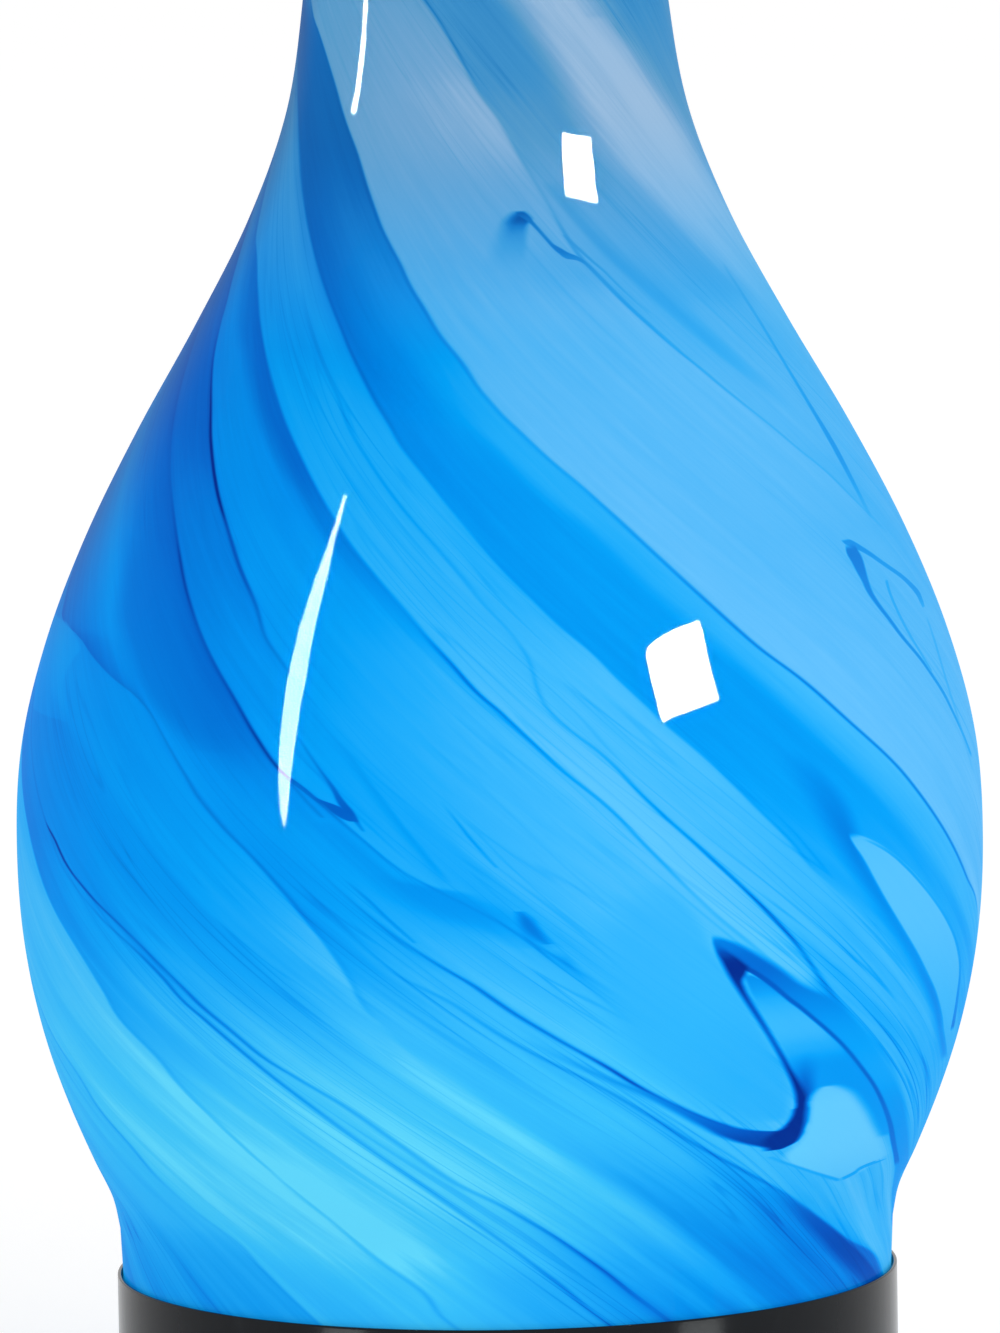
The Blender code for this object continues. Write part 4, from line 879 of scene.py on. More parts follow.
# Strokes laid over the lines, in this order: hooks, folds and smears
swirl_strokes = (
    Stroke(
        ((640, 880), (610, 915), (597, 960), (600, 1000), (615, 1035), (645, 1068), (690, 1095), (740, 1118),
         (775, 1124)),
        ((665, 880), (700, 925), (714, 950), (735, 985), (755, 1018), (772, 1050), (786, 1080), (790, 1105),
         (782, 1124)),
        ((880, 74), (960, 76), (1040, 74), (1124, 72)), (4, 1.2),
        ((880, 10), (940, 75), (1080, 85), (1124, 80)),
    ),
    Stroke(
        ((711, 934), (716, 948), (724, 960), (738, 966), (752, 973), (775, 990), (800, 1008), (825, 1029),
         (850, 1054), (870, 1080), (885, 1108), (893, 1135), (897, 1165)),
        ((713, 933), (725, 939), (738, 944), (750, 950), (762, 957), (775, 965), (788, 974), (800, 983),
         (813, 990), (830, 998), (846, 1010), (860, 1024), (874, 1041), (887, 1062), (897, 1081), (904, 1100),
         (908, 1125), (909, 1150), (905, 1170)),
        ((934, 50), (945, 36), (960, 28), (975, 34), (990, 44), (1002, 50), (1020, 58), (1040, 62),
         (1060, 64), (1090, 58), (1130, 56), (1165, 58)),
        (0.3, 1),
    ),
    Stroke(
        ((744, 976), (752, 995), (765, 1018), (778, 1040), (790, 1062), (800, 1085), (806, 1100),
         (806, 1120)),
        ((746, 972), (775, 988), (800, 1008), (825, 1029), (850, 1054), (870, 1080), (885, 1108),
         (893, 1135)),
        ((976, 42), (990, 56), (1003, 74), (1020, 80), (1035, 72), (1055, 56), (1075, 56), (1130, 60)),
        (0.4, 0.3),
    ),
    strand(
        ((742, 966, 2.5), (752, 971, 2.5), (763, 978, 2.5), (775, 987, 2.5), (788, 998, 2.3),
         (800, 1007, 2.2), (812, 1017, 2), (825, 1028, 2), (838, 1040, 2), (850, 1053, 2), (862, 1068, 2),
         (874, 1085, 2), (883, 1103, 2.2), (890, 1123, 2.5), (894, 1145, 2.5), (897, 1165, 2.5)),
        ((966, 10), (985, 18), (1005, 22), (1030, 24), (1060, 28), (1085, 28), (1110, 33), (1145, 38)),
        (0.3, 0.35),
    ),
    Stroke(
        ((802, 1050), (797, 1062), (796, 1075), (799, 1090), (801, 1102)),
        ((809, 1050), (813, 1062), (812, 1078), (811, 1092), (811, 1102)),
        ((1050, 42), (1062, 34), (1078, 18), (1092, 6), (1102, 2)), (1.4, 1.4),
        ((1045, 0), (1065, 40), (1090, 90)),
    ),
    Stroke(
        ((713, 938), (716, 950), (722, 963), (730, 978), (740, 994), (750, 1009), (760, 1024), (770, 1040),
         (780, 1058), (788, 1074), (793, 1086), (796, 1098), (795, 1110), (791, 1120), (784, 1128)),
        ((717, 942), (726, 950), (738, 958), (748, 966), (747, 972), (743, 980), (745, 988), (751, 1000),
         (757, 1010), (766, 1025), (775, 1040), (781, 1050), (787, 1060), (795, 1074), (801, 1084),
         (806, 1094), (809, 1105), (809, 1116), (805, 1127)),
        ((938, 45), (946, 30), (955, 8), (965, 0), (985, 3), (1000, 6), (1030, 6), (1060, 4), (1080, 0),
         (1100, 0), (1128, 0)),
        (0.55, 0.55),
    ),
    Stroke(
        ((520, 1038), (560, 1060), (600, 1078), (640, 1095), (670, 1110), (700, 1126), (725, 1138),
         (750, 1145), (775, 1149)),
        ((520, 1034), (560, 1055), (600, 1073), (640, 1089), (675, 1104), (700, 1115), (725, 1124),
         (745, 1129), (765, 1131), (785, 1131), (803, 1131), (799, 1138), (790, 1144), (778, 1148)),
        ((1040, 60), (1062, 52), (1080, 46), (1097, 40), (1112, 32), (1127, 20), (1138, 10), (1149, 5)),
        (0.9, 0.9), ((1020, 0), (1050, 50), (1075, 90), (1090, 100)),
    ),
    Stroke(
        ((795, 1108), (792, 1118), (784, 1127), (772, 1134), (764, 1141), (766, 1150)),
        ((810, 1108), (809, 1118), (806, 1127), (802, 1135), (796, 1142), (780, 1150)),
        ((1108, 0), (1150, 2)), (1, 0.5),
    ),
    Stroke(
        ((822, 1086), (812, 1096), (809, 1110), (807, 1125), (802, 1138), (795, 1147), (786, 1155),
         (788, 1163), (800, 1169), (820, 1175), (838, 1180)),
        ((830, 1084), (846, 1089), (857, 1098), (866, 1111), (874, 1127), (882, 1143), (886, 1154),
         (878, 1160), (866, 1168), (854, 1175), (841, 1180)),
        ((1086, 94), (1110, 100), (1135, 100), (1160, 97), (1180, 90)), (1.1, 1.6),
    ),
    strand(
        ((770, 1157, 1.2), (785, 1163, 1.3), (800, 1168, 1.4), (815, 1173, 1.5), (828, 1177, 1.6),
         (838, 1180, 1.6)),
        ((1157, 68), (1180, 64)), (0.6, 0.5),
    ),
    strand(
        ((886, 1157, 1.5), (875, 1160, 1.5), (865, 1166, 1.5), (854, 1173, 1.5), (842, 1179, 1.5)),
        ((1157, 68), (1179, 64)), (0.6, 0.5),
    ),
    Stroke(
        ((518, 210), (510, 218), (504, 228), (498, 242), (493, 258), (490, 275)),
        ((523, 210), (530, 217), (527, 226), (526, 238), (525, 254), (523, 272)),
        ((211, 30), (217, 16), (228, 38), (242, 55), (258, 64), (275, 72)), (1.6, 0.7),
        ((210, 60), (216, 100), (232, 80), (250, 60), (275, 0)),
    ),
    strand(
        ((520, 213, 3), (528, 219, 2.2), (536, 227, 1.8), (544, 236, 1.7), (552, 245, 1.8), (560, 251, 2.8),
         (568, 256, 3.2), (576, 258, 2.2), (582, 261, 1.6), (592, 269, 1.5), (602, 279, 1.4), (615, 292, 1.3),
         (630, 307, 1.2), (650, 325, 1.1), (680, 351, 1)),
        ((213, 15), (225, 36), (240, 42), (252, 38), (260, 46), (280, 58), (310, 62), (351, 70)), (0.25, 0.3),
    ),
    strand(
        ((563, 234, 1.2), (572, 243, 1.5), (582, 252, 1.4), (592, 261, 1.2), (605, 272, 1), (620, 287, 1),
         (635, 301, 1), (650, 313, 1)),
        ((234, 55), (260, 55), (313, 66)), (0.25, 0.3), ((234, 20), (243, 80), (270, 70), (313, 20)),
    ),
    strand(
        ((846, 541, 3), (852, 544, 3.2), (860, 548, 2.5), (870, 554, 2), (880, 561, 1.8), (890, 568, 1.8),
         (900, 575, 1.8), (910, 584, 2), (917, 592, 2.2), (921, 600, 1.8), (924, 608, 1.2)),
        ((541, 52), (548, 50), (570, 56), (592, 55), (608, 68)), (0.3, 0.3),
    ),
    strand(
        ((849, 543, 4), (852, 551, 5.5), (857, 560, 5.5), (861, 570, 4.5), (865, 580, 3.2), (869, 590, 2.6),
         (875, 600, 2), (890, 620, 1.6), (905, 640, 1.4), (920, 658, 1.3), (932, 675, 1.2), (943, 692, 1.2),
         (953, 712, 1), (963, 734, 0.9), (972, 758, 0.8)),
        ((543, 52), (552, 36), (565, 38), (580, 42), (600, 44), (640, 48), (690, 55), (758, 66)), (0.3, 0.3),
    ),
    strand(
        ((886, 579, 1.3), (889, 590, 1.2), (894, 603, 1.1), (901, 618, 1.1), (910, 635, 1.1), (922, 655, 1),
         (932, 672, 1)),
        ((579, 66), (672, 72)), (0.25, 0.25),
    ),
    strand(
        ((926, 615, 1), (935, 642, 1), (945, 676, 1), (955, 708, 1), (965, 742, 1), (973, 772, 0.8)),
        ((615, 70), (772, 72)), (0.25, 0.25), ((615, 20), (650, 70), (772, 20)),
    ),
    Stroke(
        ((775, 745), (795, 775), (812, 800), (828, 828), (842, 850), (856, 872), (870, 893), (885, 915),
         (900, 938), (914, 962), (926, 988), (934, 1010), (939, 1035), (942, 1060)),
        ((805, 755), (828, 780), (846, 806), (856, 832), (864, 858), (876, 880), (889, 903), (903, 928),
         (917, 952), (926, 970), (935, 990), (941, 1012), (944, 1035), (946, 1060)),
        ((745, 54), (790, 44), (850, 42), (900, 43), (950, 42), (1000, 38), (1060, 46)), (2.4, 1.6),
        ((745, 0), (790, 75), (860, 100), (1040, 100), (1060, 40)),
    ),
    Stroke(
        ((848, 832), (852, 841), (864, 859), (876, 881), (889, 904), (904, 929), (918, 953), (927, 971),
         (936, 991), (942, 1013), (945, 1035), (947, 1055)),
        ((850, 832), (860, 835), (872, 840), (887, 849), (902, 861), (917, 876), (932, 895), (946, 917),
         (956, 941), (960, 962), (958, 987), (955, 1010), (951, 1035), (949, 1055)),
        ((832, 80), (845, 88), (900, 90), (960, 86), (1010, 80), (1055, 75)), (0.3, 0.4),
    ),
    strand(
        ((862, 838, 1), (875, 844, 1.2), (890, 853, 1.2), (905, 866, 1.2), (920, 882, 1.2), (935, 901, 1.2),
         (948, 922, 1.2), (957, 945, 1.2), (960, 970, 1), (957, 1000, 1.2), (952, 1030, 1.5)),
        ((838, 60), (870, 52), (920, 52), (960, 50), (1030, 36)), (0.25, 0.3),
        ((838, 20), (860, 70), (940, 60), (1000, 70), (1030, 90)),
    ),
    strand(
        ((298, 737, 1), (305, 748, 1.2), (313, 760, 1.3), (320, 770, 1.4), (328, 781, 1.8), (334, 790, 2.2),
         (339, 799, 3), (344, 806, 3.5), (350, 813, 3.5), (355, 819, 2.5), (359, 825, 1.5), (364, 832, 1)),
        ((737, 50), (770, 40), (800, 25), (812, 22), (825, 45)), (0.3, 0.3),
    ),
    strand(
        ((288, 779, 2), (300, 787, 1.8), (308, 793, 1.6), (316, 799, 1.5), (324, 803, 2), (331, 807, 3.5),
         (338, 811, 4.5), (346, 816, 4), (353, 820, 2.5)),
        ((779, 28), (795, 30), (808, 22), (820, 25)), (0.3, 0.3),
    ),
    strand(
        ((292, 785, 1.3), (300, 794, 1.5), (308, 803, 1.6), (316, 811, 1.8), (322, 817, 1.5)),
        ((785, 40), (817, 44)), (0.35, 0.35),
    ),
    Stroke(
        ((318, 820), (335, 838), (350, 852), (365, 867), (380, 882), (400, 897), (420, 908), (440, 918),
         (470, 930), (500, 940), (530, 950)),
        ((328, 823), (345, 838), (360, 850), (380, 868), (400, 880), (430, 887), (460, 893), (480, 901),
         (505, 914), (525, 926), (545, 938)),
        ((820, 45), (850, 48), (890, 49), (930, 52), (950, 55)), (2.6, 2),
        ((818, 20), (835, 70), (900, 70), (940, 30)),
    ),
    Stroke(
        ((517, 913), (519, 921), (524, 930), (534, 939), (545, 945)),
        ((522, 911), (531, 918), (538, 927), (546, 937), (552, 944)), ((912, 46), (925, 38), (945, 46)),
        (0.8, 0.8),
    ),
    strand(
        ((330, 735, 2), (345, 752, 2.4), (360, 772, 2.4), (375, 793, 2.4), (390, 812, 2.4), (405, 832, 2.4),
         (420, 850, 2.4), (435, 868, 2.4), (450, 884, 2.2)),
        ((735, 52), (884, 52)), (1.2, 0.5), ((735, 10), (770, 70), (860, 70), (884, 20)),
    ),
    strand(
        ((440, 801, 1), (455, 819, 1.1), (470, 838, 1.2), (485, 855, 1.2), (497, 868, 1)),
        ((801, 60), (840, 50), (868, 52)), (0.3, 0.3), ((801, 10), (835, 80), (868, 50)),
    ),
    strand(
        ((345, 880, 1.2), (365, 897, 1.3), (385, 916, 1.4), (400, 930, 1.5), (415, 943, 1.3)),
        ((880, 48), (943, 40)), (0.3, 0.3), ((880, 10), (900, 70), (943, 40)),
    ),
    strand(
        ((548, 182, 4), (575, 215, 5), (605, 248, 6), (640, 280, 6), (675, 310, 6), (710, 340, 6),
         (750, 374, 5), (790, 408, 4)),
        ((182, 60), (250, 62), (310, 66), (408, 76)), (1, 1.6), ((182, 30), (215, 80), (330, 80), (408, 10)),
    ),
    strand(
        ((722, 262, 1), (745, 298, 1.2), (765, 330, 1.2), (790, 372, 1.3), (814, 412, 1.6), (834, 446, 2.2),
         (852, 480, 1.8), (872, 520, 1.2)),
        ((262, 60), (372, 60), (446, 52), (520, 66)), (0.4, 0.3),
        ((262, 20), (330, 60), (446, 90), (520, 30)),
    ),
    strand(
        ((478, 0, 15), (500, 30, 15), (520, 60, 14), (543, 95, 12), (566, 130, 9), (590, 166, 7),
         (615, 200, 5)),
        ((0, 50), (60, 55), (130, 56), (200, 64)), (2.4, 2), ((0, 50), (95, 50), (200, 20)),
    ),
    strand(
        ((765, 1187, 3), (795, 1208, 6), (825, 1233, 9), (850, 1256, 10), (872, 1278, 8), (885, 1296, 5)),
        ((1187, 34), (1233, 12), (1256, 8), (1296, 16)), (1.8, 0.7), ((1187, 30), (1233, 90), (1296, 80)),
    ),
    strand(
        ((590, 20, 12), (620, 70, 13), (650, 118, 13), (682, 170, 12), (712, 218, 9)),
        ((20, 86), (118, 90), (218, 88)), (2.2, 2.2), ((20, 60), (118, 60), (218, 30)),
    ),
    strand(
        ((150, 540, 18), (150, 580, 26), (152, 620, 32), (165, 665, 32), (185, 705, 26), (210, 745, 16)),
        ((540, 34), (745, 34)), (3.4, 2.4), ((540, 20), (600, 70), (690, 70), (745, 20)),
    ),
    Stroke(
        ((40, 640), (38, 660), (35, 690), (33, 710)),
        ((66, 620), (75, 635), (80, 648), (74, 658), (66, 672), (62, 690), (64, 705)), ((620, 60), (710, 60)),
        (1.5, 0.8), ((620, 30), (645, 60), (710, 30)),
    ),
)

# Tones at the back of the glass, where the first and the last line's own tones have run out, at heights
rest_tones = ((45, 45), (80, 62), (150, 66), (220, 74), (250, 72), (275, 60), (292, 53))
thread_width, foot_thread_width = 0.38, 0.08  # a thread's half width in millimetres, and what the foot adds
thread_depth = 2.2  # strengthens all depths of threads
stroke_ends = 0.03  # share of a stroke's height over which it begins and ends


def palette(*stops):
    """Stops of a colour ramp from (tone, red, green, blue), the colours from 0 to 255."""
    return [(tone, linear(*colour)) for tone, *colour in stops]


belly_palette = palette(
    (0.00, 0, 46, 145), (0.15, 0, 85, 192), (0.30, 0, 109, 213), (0.42, 0, 129, 229), (0.52, 0, 147, 242),
    (0.62, 2, 163, 250), (0.72, 32, 174, 251), (0.82, 63, 186, 252), (0.90, 86, 194, 253),
    (1.00, 100, 203, 254),
)
foot_palette = palette(
    (0.00, 4, 40, 140), (0.20, 4, 100, 210), (0.35, 5, 130, 232), (0.50, 14, 157, 243), (0.62, 32, 172, 249),
    (0.72, 45, 182, 251), (0.82, 55, 192, 252), (0.90, 68, 200, 251), (1.00, 98, 218, 254),
)
milky_palette = palette(
    (0.00, 5, 55, 150), (0.20, 14, 100, 195), (0.40, 24, 135, 228), (0.52, 30, 152, 238),
    (0.65, 36, 168, 247), (0.75, 60, 178, 249), (0.82, 84, 186, 250), (0.90, 104, 195, 253),
    (1.00, 118, 205, 255),
)
neck_palette = palette(
    (0.00, 8, 76, 158), (0.20, 14, 98, 178), (0.32, 18, 112, 192), (0.45, 34, 132, 204), (0.55, 66, 153, 214),
    (0.66, 92, 164, 214), (0.76, 120, 176, 222), (0.86, 160, 198, 234), (1.00, 180, 211, 242),
)


def path_points(line):
    """A line's (height share, turn share) points, which a curve follows."""
    found = []
    for px, py in line.points:
        angle, height = angle_height(px, py)
        found.append((height, angle - twist_at(height)))
    found += line.beyond
    found.sort()
    kept = [found[0]]
    for height, turn in found[1:]:
        if height - kept[-1][0] > 1.2:
            kept.append((height, turn))
    kept = [(swirl_low, kept[0][1]), *kept, (swirl_high, kept[-1][1])]
    return [(as_share(height), turn_share(turn)) for height, turn in kept]


def tone_points(tones):
    """Tones at heights as the points of a curve."""
    return [(as_share(height), tone / 100) for height, tone in sorted(tones)]


def swirl_tone(f, turn, up, reach):
    """Tone between the swirl's lines. Every line lays its own tone over all that lies to its left."""
    paths = [f.curve(up, path_points(line)) for line in swirl_lines]
    rest = f.curve(up, tone_points(rest_tones))
    rights = [f.curve(up, tone_points(line.right)) for line in swirl_lines] + [rest]
    ends = paths + [turn_share(-180)]
    start = ((turn_share(180) - turn) / (turn_share(180) - paths[0])).held()
    tone = f.between(rest, rights[0], start)
    for line, path, after, tone_after in zip(swirl_lines, paths, ends[1:], rights[1:]):
        left = f.curve(up, tone_points(line.left))
        along = ((path - turn) / (path - after)).held()
        band = f.between(left, tone_after, along)
        distance = (turn - path) * reach
        tone = f.between(tone, band, distance.step(line.soft, -line.soft))
        if line.thread:
            depth = f.curve(up, tone_points(line.thread))
            near = distance / (thread_width + (1 - up.step(0.20, 0.40)) * foot_thread_width)
            tone = tone - depth * (math.e ** (-(near * near))) * thread_depth
    return tone


def flow_points(edge):
    """(height, turn) of the photograph's points on the glass, from low to high."""
    places = (angle_height(*point) for point in edge)
    found = sorted((height, angle - twist_at(height)) for angle, height in places)
    kept = [found[0]]
    for height, turn in found[1:]:
        if height - kept[-1][0] > 0.05:
            kept.append((height, turn))
    return kept


def lay_stroke(f, tone, stroke, turn, height, reach):
    """The tone with one stroke laid over it."""
    left, right = flow_points(stroke.left), flow_points(stroke.right)
    low, high = min(left[0][0], right[0][0]), max(left[-1][0], right[-1][0])
    along = height.span(low, high, 0, 1)

    def through(points):
        return f.curve(along, sorted(((h - low) / (high - low), value) for h, value in points))

    def at_rows(rows):
        """Values given at rows of the photograph, at their heights on the stroke."""
        edge_rows = [py for _, py in stroke.left]
        top, foot = min(edge_rows), max(edge_rows)
        down = [min(1, max(0, (py - top) / (foot - top))) for py, _ in rows]
        return [(high + (low - high) * t, value / 100) for t, (_, value) in zip(down, rows)]

    strength = along.step(0, stroke_ends) * along.step(1, 1 - stroke_ends)
    if stroke.strengths:
        strength = strength * through(at_rows(stroke.strengths))
    tones = at_rows(stroke.tones)
    own_tone = along.span(0, 1, tones[-1][1], tones[0][1]) if len(tones) == 2 else through(tones)
    soft_left, soft_right = stroke.soft
    left_turn, right_turn = (through([(h, turn_share(t)) for h, t in edge]) for edge in (left, right))
    from_left, from_right = (turn - left_turn) * reach, (right_turn - turn) * reach
    mask = from_left.step(-soft_left, soft_left) * from_right.step(-soft_right, soft_right) * strength
    return f.between(tone, own_tone, mask)


# Heights in metres between which the looks of the glass change
coarse_fade, foot_fade = (0.100, 0.150), (0.085, 0.135)
# The painted shade on the left of the upper glass comes in over the heights below, between the turns on the
# next line
left_shade_fade, neck_fade = (0.160, 0.200), (0.226, 0.275)
left_shade_start, left_shade_end = (-61, -84), (-100, -130)  # degrees round the glass
milk_end = 100, 165  # turns between which the milky glass ends at the back


def blue_glass():
    """Blown glass with a cased blue swirl, polished outside."""
    glass = bpy.context.scene.lamp_glass
    f = Finish("blue_glass")
    place = f.place()
    x, y, z = f.parts(place)
    up = z.span(swirl_low * mm, swirl_high * mm, 0, 1)
    twist = f.curve(up, [(as_share(h), turn_share(t)) for h, t in list(zip(twist_heights, twist_turns))[::9]])
    angle = x.arctan2(-y) / math.tau
    raw = angle * (math.tau / math.radians(turn_span)) - twist + 1.0
    turn = raw.wrap(turn_share(180), turn_share(-180))
    levels = range(int(swirl_low), int(swirl_high) + 1, 9)
    widths = [(as_share(h), across_flow(h) / widest_flow) for h in levels]
    reach = f.curve(up, widths) * (widest_flow * turn_span)
    tone = swirl_tone(f, turn, up, reach)
    height = z / mm
    turned_angle = (turn - 0.5) * math.radians(turn_span)
    around, aside = turned_angle.cosine(), turned_angle.sine()
    flow = f.vector(around, aside, z * 2.0)
    fine = f.noise(flow, 34, 4.0, 0.6)
    broad = f.noise(flow, 9, 3.0, 0.5)
    brushed = f.noise(f.vector(around, aside, z * 0.8), 90, 3.0, 0.6)
    lower = 1 - z.step(*coarse_fade)
    streaks = (fine - 0.5) * 0.13 + (broad - 0.5) * (0.14 + lower * 0.40) + (brushed - 0.5) * 0.07
    tone = tone + streaks * ((1 + lower * 0.6) * glass.streaks)
    wander = f.noise(flow, 2.2, 1.0, 0.5)
    for scale, slant in ((14, 0.9), (23, 0.5)):
        drawn = f.noise(f.vector(around, aside, z * slant), scale, 1.0, 0.4)
        ridge = abs(drawn - 0.5) / 0.012
        depth = wander.step(0.46, 0.66) * (glass.threads * (0.6 + lower * 1.2))
        tone = tone - (math.e ** (-(ridge * ridge))) * depth
    for stroke in swirl_strokes:
        tone = lay_stroke(f, tone, stroke, turn, height, reach)
    tone = tone + (fine - 0.5) * (0.06 * glass.streaks)
    seam = f.curve(up, path_points(milky_seam))
    milk = ((turn - seam) * reach).step(-0.6, 0.6) * (1 - turn.step(*map(turn_share, milk_end)))
    low = f.ramp(tone, foot_palette)
    middle = f.ramp(tone, belly_palette)
    pale = f.ramp(tone, milky_palette)
    high = f.ramp(tone, neck_palette)
    body = f.blend(low, middle, z.step(*foot_fade).higher(x.step(0.010, 0.070)))
    body = f.blend(body, pale, milk)
    body = f.blend(body, high, z.step(*neck_fade))
    # Painted shade: the upper glass is greyed on its left side
    start, end = (angle.step(*(degrees / 360 for degrees in turns)) for turns in (left_shade_start, left_shade_end))
    painted_left_shade = start * (1 - end) * z.step(*left_shade_fade)
    body = f.blend(body, glass.painted_left_shade, painted_left_shade * 0.55)
    seeds = f.cells(place, 210).step(0.05, 0.02)
    # Painted glow: a share of the glass's colour is given off as emission, and the base colour is darkened by
    # the same share
    return f.done({
        "Base Color": f.blend(body, (0, 0, 0), glass.glow),
        "Emission Color": body,
        "Emission Strength": glass.glow,
        "Roughness": 0.45 + seeds * 0.2,
        "Specular IOR Level": 0.0,
        "Coat Weight": glass.gloss,
        "Coat IOR": 1.4,
        "Coat Roughness": 0.015,
    })


# Making pieces


def add_mesh(name, points, faces, material):
    """A mesh piece with smooth faces and sharp edges where they turn by more than the sharp angle."""
    mesh = bpy.data.meshes.new(name)
    mesh.from_pydata(points, [], faces)
    mesh.update()
    mesh.shade_smooth()
    mesh.set_sharp_from_angle(angle=sharp_angle)
    mesh.materials.append(material)
    piece = bpy.data.objects.new(name, mesh)
    bpy.context.scene.collection.objects.link(piece)
    return piece


def settle(piece, body, slot, *nodes):
    """The piece rides on a body and stands for CAD nodes, which it hides. The slot is not used."""
    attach(piece, body)
    if nodes:
        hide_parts(*nodes)
    return piece


def dress(material, *names):
    """Gives a carried-over CAD node its finish."""
    for name in names:
        node = frame["nodes"][name]
        node.data.materials.clear()
        node.data.materials.append(material)


def soften(width, *names):
    """Breaks the sharp edges of carried-over CAD nodes."""
    for name in names:
        bevel = frame["nodes"][name].modifiers.new("edges", "BEVEL")
        bevel.width = width
        bevel.segments = 2
        bevel.limit_method = "ANGLE"
        bevel.angle_limit = math.radians(40)


def rounded(outline, radius, spans=4, closed=True):
    """The outline with its corners rounded. A radius may be given for each corner."""
    count = len(outline)
    radii = radius if isinstance(radius, (list, tuple)) else [radius] * count
    points = []
    for i, corner in enumerate(outline):
        if not closed and i in (0, count - 1):
            points.append(corner)
            continue
        here = Vector(corner)
        before, after = Vector(outline[i - 1]) - here, Vector(outline[(i + 1) % count]) - here
        cut = min(radii[i], before.length * 0.45, after.length * 0.45)
        if cut < 1e-6:
            points.append(corner)
            continue
        start, end = here + before.normalized() * cut, here + after.normalized() * cut
        for j in range(spans + 1):
            t = j / spans
            points.append(tuple(start * (1 - t) ** 2 + here * (2 * t * (1 - t)) + end * t**2))
    return points


def turned(name, outline, material, steps=96, foot=(0, 0, 0), closed=True):
    """A turned piece from (radius, height) points that run down the outside and up the inside."""
    points, faces = [], []
    rings = []
    for radius, height in outline:
        if radius < 1e-7:
            rings.append([len(points)] * steps)
            points.append((foot[0], foot[1], foot[2] + height))
            continue
        rings.append([len(points) + i for i in range(steps)])
        for i in range(steps):
            angle = math.tau * i / steps
            x, y = radius * math.sin(angle), -radius * math.cos(angle)
            points.append((foot[0] + x, foot[1] + y, foot[2] + height))
    pairs = list(zip(rings, rings[1:]))
    if closed:
        pairs.append((rings[-1], rings[0]))
    for upper, lower in pairs:
        for i in range(steps):
            j = (i + 1) % steps
            loop = [upper[i], lower[i], lower[j], upper[j]]
            face = [v for k, v in enumerate(loop) if v != loop[k - 1]]
            if len(set(face)) > 2:
                faces.append(face)
    return add_mesh(name, points, faces, material)


def swept(name, line, radii, material, sides=20, closed=False):
    """A round bar along a line of points. radii is one radius, or one for each point."""
    count = len(line)
    radii = radii if isinstance(radii, (list, tuple)) else [radii] * count
    line = [Vector(p) for p in line]
    points, faces = [], []
    side = None
    for i, here in enumerate(line):
        before = line[i - 1] if closed or i > 0 else here
        after = line[(i + 1) % count] if closed or i < count - 1 else here
        ahead = (after - before).normalized()
        if side is None:
            side = ahead.orthogonal().normalized()
        side = (side - ahead * side.dot(ahead)).normalized()
        third = ahead.cross(side)
        for j in range(sides):
            angle = math.tau * j / sides
            points.append(here + (side * math.cos(angle) + third * math.sin(angle)) * radii[i])
    spans = count if closed else count - 1
    for i in range(spans):
        a, b = i * sides, ((i + 1) % count) * sides
        for j in range(sides):
            k = (j + 1) % sides
            faces.append((a + j, a + k, b + k, b + j))
    if not closed:
        faces.append(tuple(reversed(range(sides))))
        faces.append(tuple(range((count - 1) * sides, count * sides)))
    return add_mesh(name, points, faces, material)


def cut(piece, tool):
    """Cuts a tool out of a piece for good, and removes the tool."""
    boolean = piece.modifiers.new("cut", "BOOLEAN")
    boolean.operation = "DIFFERENCE"
    boolean.solver = "EXACT"
    boolean.object = tool
    bpy.context.view_layer.update()
    mesh = bpy.data.meshes.new_from_object(piece.evaluated_get(bpy.context.evaluated_depsgraph_get()))
    piece.modifiers.clear()
    piece.data = mesh
    bpy.data.objects.remove(tool)
    return piece


def band(name, low, high, inset, wall, material, start=0.0, end=math.tau, steps=256, rise=1):
    """A sleeve of the drum shade between two heights, a little under or over the linen's own face."""
    whole = end - start > math.tau - 1e-6
    points, faces = [], []
    count = steps if whole else steps + 1
    levels = [low + (high - low) * i / rise for i in range(rise + 1)]
    outside = [(shade_radius(z) - inset, z) for z in levels]
    section = outside + [(radius - wall, z) for radius, z in outside[::-1]]
    size = len(section)
    for i in range(count):
        angle = start + (end - start) * i / steps
        for radius, z in section:
            points.append((radius * math.sin(angle), -radius * math.cos(angle), z))
    for i in range(steps):
        a, b = i * size, ((i + 1) % count) * size
        for j in range(size):
            k = (j + 1) % size
            faces.append((a + j, b + j, b + k, a + k))
    if not whole:
        faces.append(tuple(range(size)))
        faces.append(tuple(reversed(range((count - 1) * size, count * size))))
    return add_mesh(name, points, faces, material)


def shade_radius(height):
    """Outer radius of the shade at a height."""
    share = (height - fabric_low.z) / (fabric_high.z - fabric_low.z)
    return fabric_high.x + (shade_top_radius - fabric_high.x) * share


# Operators


class LampOperator(bpy.types.Operator):
    """What the lamp's operators share."""

    bl_options = {"REGISTER", "UNDO"}

    def execute(self, context):
        self.make(context.scene)
        return {"FINISHED"}


class LAMP_OT_stage(LampOperator):
    """Make the floor, the even light, the soft boxes and the camera"""

    bl_idname = "lamp.stage"
    bl_label = "Studio"

    def make(self, scene):
        studio = scene.lamp_studio
        make_camera(scene, studio)
        make_daylight(scene, studio)
        make_floor(studio)
        for soft_box in soft_boxes:
            make_soft_box(*soft_box)
        scene.view_settings.view_transform = "Standard"


def make_camera(scene, studio):
    """The camera that took the photograph."""
    camera = bpy.data.cameras.new("photo_camera")
    camera.lens = pixels_per_unit / photo_height * camera.sensor_width
    camera.clip_start, camera.clip_end = 0.01, 300
    eye = bpy.data.objects.new("photo_camera", camera)
    eye.location = (camera_aside, -studio.distance, studio.height)
    tilt = Matrix.Rotation(math.pi / 2 - studio.pitch, 3, "X") @ Matrix.Rotation(studio.roll, 3, "Z")
    eye.rotation_euler = tilt.to_euler()
    scene.collection.objects.link(eye)
    scene.camera = eye


